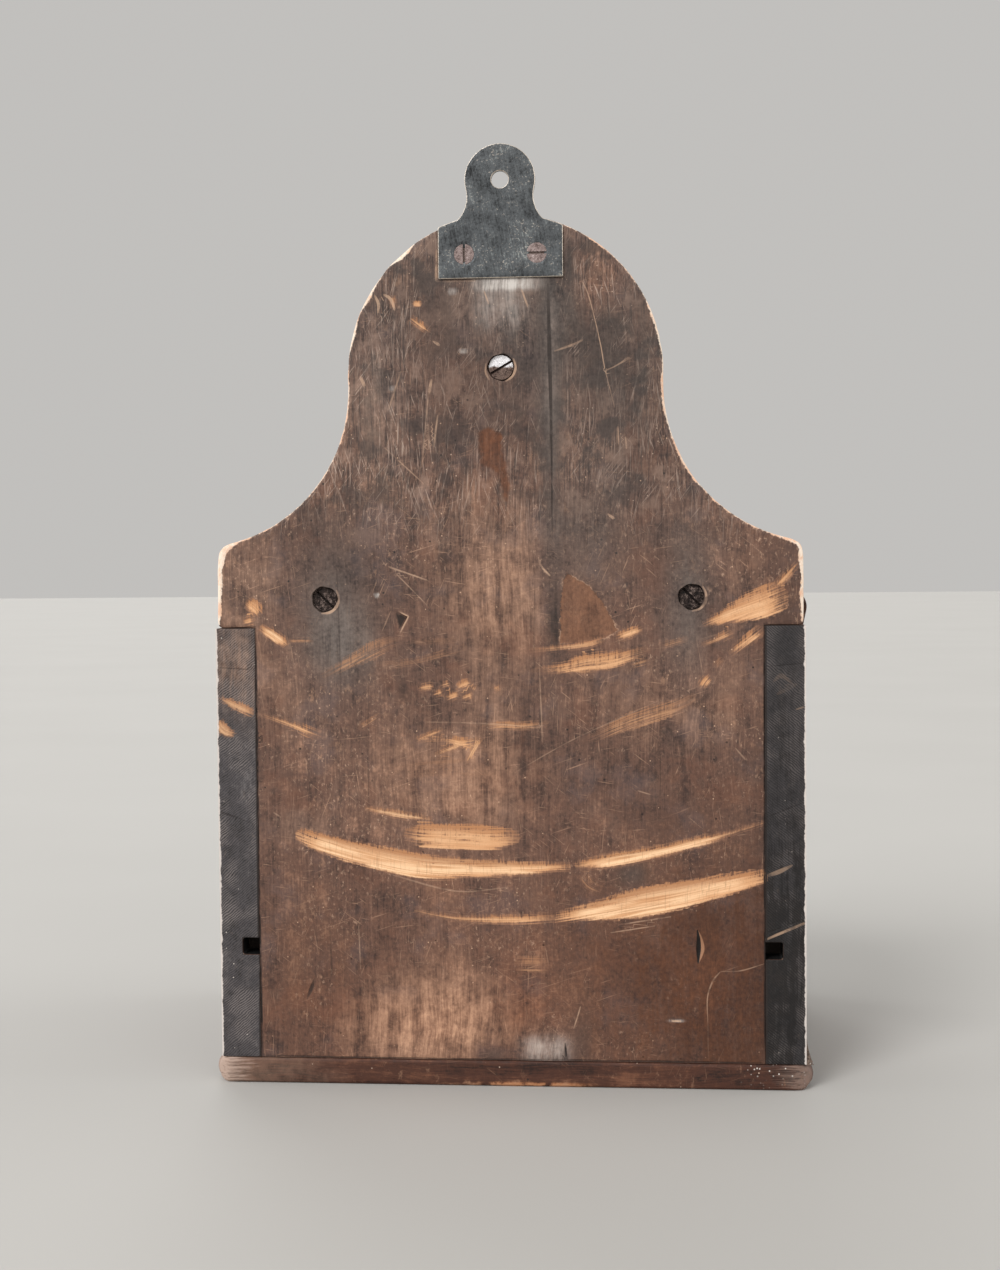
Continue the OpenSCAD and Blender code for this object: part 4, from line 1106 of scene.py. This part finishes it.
def worn_steel(name, dark, mid, bright, share=0.0, shiny_above=None, face_y=None, dirt=DIRT):
    """Screw steel, rusty to bright.

    share is how much has kept its shine. Where shiny_above is given, that is all above this height instead.
    face_y is where the heads' faces lie, so that dirt of the given colour fills the slots.
    """
    g = Graph(name)
    cloud = g.noise(g.mm, 0.5, 5.0, 0.7)
    grit = g.noise(g.mm, 1.7, 3.0, 0.7)
    _, y, z = g.parts(g.mm)
    tone = grit * 0.6 + (cloud - 0.3)
    if shiny_above is None:
        shine = g.ease(tone, 0.85 - 0.5 * share, 1.1 - 0.5 * share)
    else:
        shine = g.ease((cloud - 0.5) * 3.0 + z, shiny_above - 0.5, shiny_above + 0.5)
        shine *= g.ease(grit, 0.3, 0.5, 0.6, 1.0)
    color = g.mix(shine, g.mix(g.ease(tone, 0.25, 0.6), dark, mid), bright)
    if face_y is not None:
        color = g.mix(g.ease(y, face_y - 0.15, face_y - 0.45), color, dirt)
    return g.finish(color, g.ease(cloud, 0.3, 0.7, 0.45, 0.75), g.bump(grit, 0.6), metallic=0.6)


# Rear: the back board, the hanger plate, the base and the filler on it

# Gap between the back and each side
JOINT_GAP = 0.05
# Edge radii of the back's far face, and of the hanger plate's near and far one
BACK_ROUNDING = 0.8
HANGER_ROUNDING = (0.3, 0.15)
# Steps of the points along the outlines, and the mesh sizes of the near and far faces
BACK_STEP, BACK_CELLS = 0.9, (0.95, 6.0)
HANGER_STEP, HANGER_CELLS = 0.6, (1.2, 3.0)
BASE_STEP, BASE_CELLS = 2.0, (9.0, 9.0)


def half_outline(step):
    """The right half of the back's outline, seen from behind, from the foot up to the crown."""
    inner = BOX_W / 2 - SIDE_T - JOINT_GAP
    ear = EAR_W / 2
    cove_z = SHOULDER_Z + COVE_R
    cove_x = math.sqrt((ARCH_R + COVE_R) ** 2 - (ARCH_Z - cove_z) ** 2)
    from_ear = math.degrees(math.acos((ear - cove_x) / COVE_R))
    to_waist = math.degrees(math.atan2(ARCH_Z - cove_z, cove_x))
    return np.vstack([
        [(inner, BASE_T), (inner, SIDE_TOP), (ear, SIDE_TOP)],
        arc((cove_x, cove_z), COVE_R, 360 - from_ear, 180 - to_waist, step),
        arc((0, ARCH_Z), ARCH_R, -to_waist, 90, step)[1:],
    ])


def exposed(loop):
    """1 along the rim above the sides, and 0 below, where the back is let in between them."""
    return ease(loop[:, 1], SIDE_TOP - 1, SIDE_TOP + 2)


def back_loop(step):
    """The back's outline, seen from behind, with softened corners and a nibbled rim."""
    right = half_outline(step)
    left = right[:-1][::-1] * (-1, 1)
    loop = resample(np.vstack([right, left]), step)
    for side in (-1, 1):
        loop = soften(loop, (side * EAR_W / 2, SHOULDER_Z), 5, 14)
        loop = soften(loop, (side * EAR_W / 2, SIDE_TOP), 2, 4)
    x, z = loop.T
    nibble = np.maximum(0, bare_width(loop) - 0.6) * 0.12
    for size, seed, above, share in ((16, 3, 0.5, 0.35), (3, 4, 0.2, 0.10)):
        nibble += np.maximum(0, ripple(x, z, size, seed) - above) * share
    return loop + inward(loop) * (nibble * exposed(loop))[:, None]


def hanger_loop(step):
    """The hanger plate's outline, seen from behind."""
    hip = math.degrees(math.acos((HANGER_W / 2) / ARCH_R))
    neck_x = math.sqrt((HANGER_HEAD_R + NECK_R) ** 2 - NECK_DROP**2)
    neck_z = HOLE_Z - NECK_DROP
    join = math.degrees(math.atan2(NECK_DROP, neck_x))
    # Where the neck's hollow meets the arch
    turn = np.radians(np.arange(180, 260, 0.25))
    hollow = np.column_stack([neck_x + NECK_R * np.cos(turn), neck_z + NECK_R * np.sin(turn)])
    first = np.argmax(np.hypot(hollow[:, 0], hollow[:, 1] - ARCH_Z) < ARCH_R)
    foot = math.degrees(turn[first])
    meets = math.degrees(math.atan2(hollow[first, 1] - ARCH_Z, hollow[first, 0]))
    right = np.vstack([
        [(0, HANGER_FOOT_Z), (HANGER_W / 2, HANGER_FOOT_Z)],
        arc((0, ARCH_Z), ARCH_R, hip, meets, step),
        arc((neck_x, neck_z), NECK_R, foot, 180 - join, step)[1:],
        arc((0, HOLE_Z), HANGER_HEAD_R, -join, 90, step)[1:],
    ])
    left = right[1:-1][::-1] * (-1, 1)
    return resample(np.vstack([right, left]), step) + (-HANGER_X, 0)


def ragged_radius(across, height, r, turn):
    """How far a sunk screw's ragged hole reaches at a turn about its middle."""
    return r + 0.16 * np.sin(3 * turn + across) + 0.1 * np.sin(7 * turn + height)


def hole_edge(across, height, r):
    """Points round a sunk screw's hole."""
    turn = np.linspace(0, 2 * math.pi, 72, endpoint=False)
    reach = ragged_radius(across, height, r, turn)
    return np.column_stack([across + reach * np.cos(turn), height + reach * np.sin(turn)])


def back_relief(x, z):
    """Depth of the rear face below the board's plane."""
    places = np.column_stack([x, z])
    plate = hanger_loop(2 * HANGER_STEP)
    near = z > HANGER_FOOT_Z
    gap = np.zeros(len(x))
    gap[near] = distance(places[near], plate) * inside(places[near], plate)
    depth = HANGER_RECESS * ease(gap, 0.25, 0.9)
    for across, height, r in SUNK_SCREWS:
        turn = np.arctan2(z - height, x - across)
        off = np.hypot(x - across, z - height) - ragged_radius(across, height, r, turn)
        depth += HOLE_DEPTH * ease(off, 0.12, -0.12)
        # A lip of raised wood on one side of the hole
        depth -= LIP_HEIGHT * np.exp(-((off - 0.5) / 0.4) ** 2) * ease(np.cos(turn + 0.6), -0.2, 0.8)
    for strokes, deepest, low, high in (
        (SCRAPES, 0.22, -0.2, 1.2), (SLIT, 1.1, -0.1, 0.5), (CRACKS, 0.2, -0.3, 0.3),
    ):
        field, power = strokes_at(places, strokes)
        depth += deepest * power * ease(field[:, 2] - np.abs(field[:, 1]), low, high)
    depth += FLAKE_DEPTH * inside(places, FLAKE) * ease(distance(places, FLAKE), 0, 0.5)
    # The dent is deepest at its tip
    a, tip, b = DENT
    along = (b - a) / np.linalg.norm(b - a)
    out = np.array([-along[1], along[0]])
    share = ((places - a) @ out) / ((tip - a) @ out)
    depth += DENT_DEPTH * inside(places, DENT) * np.clip(share, 0, 1) ** 1.3
    return depth + WAVE_DEPTH * ripple(x, z * 0.15, 14, 8)


def behind(plane):
    """A function that puts points seen from behind, at a depth in from a plane, in the object's space."""
    return lambda p: np.column_stack([-p[:, 0], plane - p[:, 2], p[:, 1]])


def build_back_board():
    loop = back_loop(BACK_STEP)
    # The near edge is worn round above the sides, most where the rim is bare
    radius = 0.25 + exposed(loop) * (0.75 + 0.35 * np.maximum(0, bare_width(loop) - 0.5))
    # Rows of points just inside and outside the edges of the holes, the dent and the slit
    extra = [hole_edge(x, z, r + grow) for x, z, r in SUNK_SCREWS for grow in (0.6, 0.14, -0.14, -0.7)]
    rows = np.linspace(0, 1, 12)[:, None]
    for shift in (-0.12, 0.12):
        extra += [a + (b - a) * rows + (shift, 0) for a, b in zip(DENT, DENT[1:])]
    line = smooth_line(SLIT[0][1], 0.5)
    for side in (-1, 1):
        for grow in (-0.1, 0.12):
            extra.append(line[:, :2] + np.column_stack([side * (line[:, 2] + grow), np.zeros(len(line))]))
    piece = slab(
        "back_board_worn", [loop], BACK_T, behind(REAR_Y), [radius], [BACK_ROUNDING], BACK_CELLS,
        relief=back_relief, extra=np.vstack(extra),
    )
    mark_rear(piece.data, rim=loop)
    return piece


def build_hanger_plate():
    loop = hanger_loop(HANGER_STEP)
    hole = arc((-HANGER_X, HOLE_Z), HOLE_R, 360, 0, 0.5)[:-1]
    face = REAR_Y + (HANGER_T - HANGER_RECESS)
    low, high = np.array(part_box("hanger_screws")) / MM
    head_r = (high[2] - low[2]) / 2
    heads = [(-low[0] - head_r, low[2] + head_r), (-high[0] + head_r, low[2] + head_r)]

    def hammered(x, z):
        """Shallow dimples, and hollows under the screw heads."""
        depth = np.maximum(0, 0.05 + 0.05 * ripple(x, z, 9, 21))
        for across, height in heads:
            depth += 1.2 * ease(np.hypot(x - across, z - height), head_r - 0.4, head_r - 1.4)
        return depth

    near, far = HANGER_ROUNDING
    piece = slab(
        "hanger_plate_worn", [loop, hole], HANGER_T, behind(face), [near, near], [far, far], HANGER_CELLS,
        relief=hammered,
    )
    co, places = vertices(piece.data)
    rim = np.minimum(distance(places, loop), distance(places, hole))
    put(piece.data, "wear", ease(rim, 0.45, 0.1) * ease(face - co[:, 1], 0.8, 0.3))
    return piece


def build_base_board():
    half = BASE_W / 2
    corners = np.array([(-half, 0), (half, 0), (half, BASE_D), (-half, BASE_D)])
    loop = resample(corners, BASE_STEP)
    for corner in corners:
        loop = soften(loop, corner, 6, 6)
    # Sharper along the rear than along the other edges
    radius = 4.6 - 3.2 * ease(loop[:, 1], 3.0, 0.5)

    def place(p):
        return np.column_stack([-p[:, 0], REAR_Y - p[:, 1], BASE_T - p[:, 2]])

    piece = slab("base_board_worn", [loop], BASE_T, place, [radius], [radius], BASE_CELLS)
    x, y, z = vertices(piece.data)[0].T
    at_edge = np.minimum(np.minimum(REAR_Y - y, y - REAR_Y + BASE_D), half - np.abs(x))
    low = ease(z, 3.0, 0.8) * ease(np.abs(x + 5), 55, 10)
    tips = ease(np.abs(x), half - 7, half - 1) * ease(y, REAR_Y - 30, REAR_Y)
    put(piece.data, "wear", ease(at_edge, 2.0, 0.5) * np.maximum(0.15, np.maximum(0.7 * low, 0.4 * tips)))
    return piece


def putty_mesh():
    """A smear in the corner of the base and one side, thinning out towards the front."""
    length, height, width = 28, 15, 2.75
    runs, turns = 14, 7
    # The corner it fills, tucked a little into the side and the base, and in from the rear
    x, y, z = BOX_W / 2 - 0.2, REAR_Y - 0.3, BASE_T - 0.1
    a = np.radians(np.linspace(0, 90, turns))
    rng = np.random.default_rng(5)
    points, faces = [], []
    for i in range(runs):
        far = i / (runs - 1)
        rough = (1 - far**2) * (1 + rng.uniform(-0.12, 0.12, turns))
        out = width * rough * (1 - np.sin(a) ** 1.3)
        up = height * rough * (1 - np.cos(a) ** 1.3)
        points += [(-(x + o), y - length * far, z + u) for o, u in zip(out, up)]
        if i:
            old, new = (i - 1) * turns, i * turns
            faces += [(old + j, old + j + 1, new + j + 1, new + j) for j in range(turns - 1)]
    corner = len(points)
    points.append((-x, y, z))
    faces += [(corner, j + 1, j) for j in range(turns - 1)]
    mesh = new_mesh("putty", points, faces)
    mesh.shade_smooth()
    return mesh


def build_putty():
    """A smear of old filler that rides on the case."""
    piece = link("putty", putty_mesh())
    g = Graph("putty")
    lump = g.noise(g.mm, 0.8, 4.0, 0.7)
    color = g.mix(g.ease(lump, 0.35, 0.65), srgb(62, 47, 39), srgb(138, 119, 106))
    color = g.mix(g.ease(g.cells(g.mm, 0.5), 0.14, 0.08, 0.0, 0.7), color, srgb(206, 196, 188))
    piece.data.materials.append(g.finish(color, g.ease(lump, 0.3, 0.7, 0.5, 0.75), g.bump(lump, 0.6)))
    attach(piece, "carcass")


# Dressing the nodes

def replace(piece, node, body, material):
    """Puts a piece of the scene in a node's place."""
    piece.data.materials.append(material)
    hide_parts(node)
    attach(piece, body)


def paint(material, *nodes):
    """Gives nodes that stay as they are a material of the scene."""
    for node in nodes:
        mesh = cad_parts[node].data
        mesh.materials.clear()
        mesh.materials.append(material)


def mark_side(mesh, ends):
    """Gives a side's rear edge its own wood and marks, and dirt instead of wear along the back's joint."""
    mesh.materials.append(ends)
    for face in mesh.polygons:
        if face.normal.y > 0.6 and face.center.y > (REAR_Y - 2) * MM:
            face.material_index = 1
    mark_rear(mesh)
    for wear, place in zip(mesh.attributes["wear"].data, vertices(mesh)[0]):
        if abs(place[0]) < BOX_W / 2 - SIDE_T + 1.5:
            wear.value = -abs(wear.value)


replace(build_back_board(), "back_board", "carcass", back_wood())
grey_brass = srgb(46, 47, 48), srgb(90, 93, 95), srgb(150, 154, 152), srgb(216, 204, 190)
hanger_brass = tarnished_brass("hanger_brass", *grey_brass)
replace(build_hanger_plate(), "hanger_plate", "carcass", hanger_brass)
replace(build_base_board(), "base_board", "carcass", base_wood())

build_putty()

ends = end_wood()
outer = case_wood("side_wood", 2, 31.0)
for node in ("left_side", "right_side"):
    piece = worn_copy(node, 0.9, cuts=((2, 1.2), (0, 1.2)))
    replace(piece, node, "carcass", outer)
    mark_side(piece.data, ends)

along_x = case_wood("case_wood_x", 0, 53.0)
for node, body in (
    ("front_board", "carcass"), ("hinge_rail", "carcass"), ("lid", "lid"), ("drawer_front", "drawer"),
):
    replace(worn_copy(node, 0.6), node, body, along_x)
inner_x = inner_wood("inner_wood_x", 0, 71.0)
inner_y = inner_wood("inner_wood_y", 1, 83.0)
for node, body, material in (
    ("shelf", "carcass", inner_x), ("drawer_back", "drawer", inner_x), ("drawer_bottom", "drawer", inner_x),
    ("drawer_left_side", "drawer", inner_y), ("drawer_right_side", "drawer", inner_y),
):
    replace(worn_copy(node, 0.4), node, body, material)

paint(turned_wood("front_boss", 97.0), "front_boss")
paint(turned_wood("drawer_knob", 108.0), "drawer_knob")
brown_brass = srgb(66, 50, 32), srgb(118, 94, 60), srgb(172, 146, 100), srgb(204, 178, 128)
hinges = [side + "_hinge_" + part for side in ("left", "right") for part in ("rail_leaf", "lid_leaf", "pin")]
paint(tarnished_brass("hinge_brass", *brown_brass), *hinges)
sunk_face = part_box("rail_screws")[1][1] / MM
head_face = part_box("hanger_screws")[1][1] / MM
rust = srgb(12, 9, 8), srgb(56, 45, 41), srgb(150, 132, 124)
rubbed = srgb(92, 76, 72), srgb(158, 140, 136), srgb(212, 198, 194)
bright = srgb(52, 38, 34), srgb(128, 108, 98), srgb(246, 244, 246)
paint(worn_steel("rusty_steel", *rust, 0.7, face_y=sunk_face), "rail_screws")
paint(worn_steel("nail_iron", *rust, 0.2), "side_nails", "base_nails", "drawer_nails")
paint(worn_steel("rubbed_steel", *rubbed, 0.6, face_y=head_face, dirt=srgb(140, 124, 118)), "hanger_screws")
paint(worn_steel("hinge_steel", *rubbed, 0.4), "hinge_rail_screws", "hinge_lid_screws")
bright_steel = worn_steel("bright_steel", *bright, shiny_above=269.2, face_y=sunk_face, dirt=srgb(58, 44, 40))
paint(bright_steel, "boss_screw")


# Stage: a pale floor, soft light all round, and the camera where the photograph was taken from

# Half the floor's width, in millimetres
FLOOR = 8000
# The lights' names, the side each comes from, their spread in degrees and their power
SUNS = (
    ("key", (0.5, 0.85, 0.75), 25, 2.05),
    ("fill", (-1.0, 1.2, 0.4), 40, 0.45),
    ("left_edge", (1.1, -0.15, 0.35), 35, 1.0),
    ("right_edge", (-1.1, -0.15, 0.35), 35, 1.0),
    ("front", (0.5, -1.5, 1.1), 40, 0.75),
)


def build_floor():
    corners = [(-FLOOR, -FLOOR, 0), (FLOOR, -FLOOR, 0), (FLOOR, FLOOR, 0), (-FLOOR, FLOOR, 0)]
    floor = link("floor", new_mesh("floor", corners, [(0, 1, 2, 3)]))
    g = Graph("floor")
    color = g.mix(g.noise(g.mm, 0.004, 2), srgb(178, 176, 172), srgb(184, 182, 178))
    floor.data.materials.append(g.finish(color, 0.75))


def build_light():
    for name, side, spread, power in SUNS:
        data = bpy.data.lights.new(name, "SUN")
        data.energy = power
        data.angle = math.radians(spread)
        link(name, data).rotation_euler = Vector(side).to_track_quat("Z", "Y").to_euler()
    world = bpy.data.worlds.new("studio")
    world.use_nodes = True
    sky = world.node_tree.nodes["Background"]
    sky.inputs["Color"].default_value = srgb(216, 214, 211)
    sky.inputs["Strength"].default_value = 0.78
    bpy.context.scene.world = world
    bpy.context.scene.view_settings.view_transform = "Standard"


def build_camera():
    data = bpy.data.cameras.new("camera")
    data.sensor_width = 36
    data.lens = 49.6
    camera = link("camera", data)
    camera.location = (-0.0518, 0.7246, 0.1997)
    camera.rotation_euler = [math.radians(a) for a in (87.38, 0.53, -175.23)]
    bpy.context.scene.camera = camera


build_floor()
build_light()
build_camera()
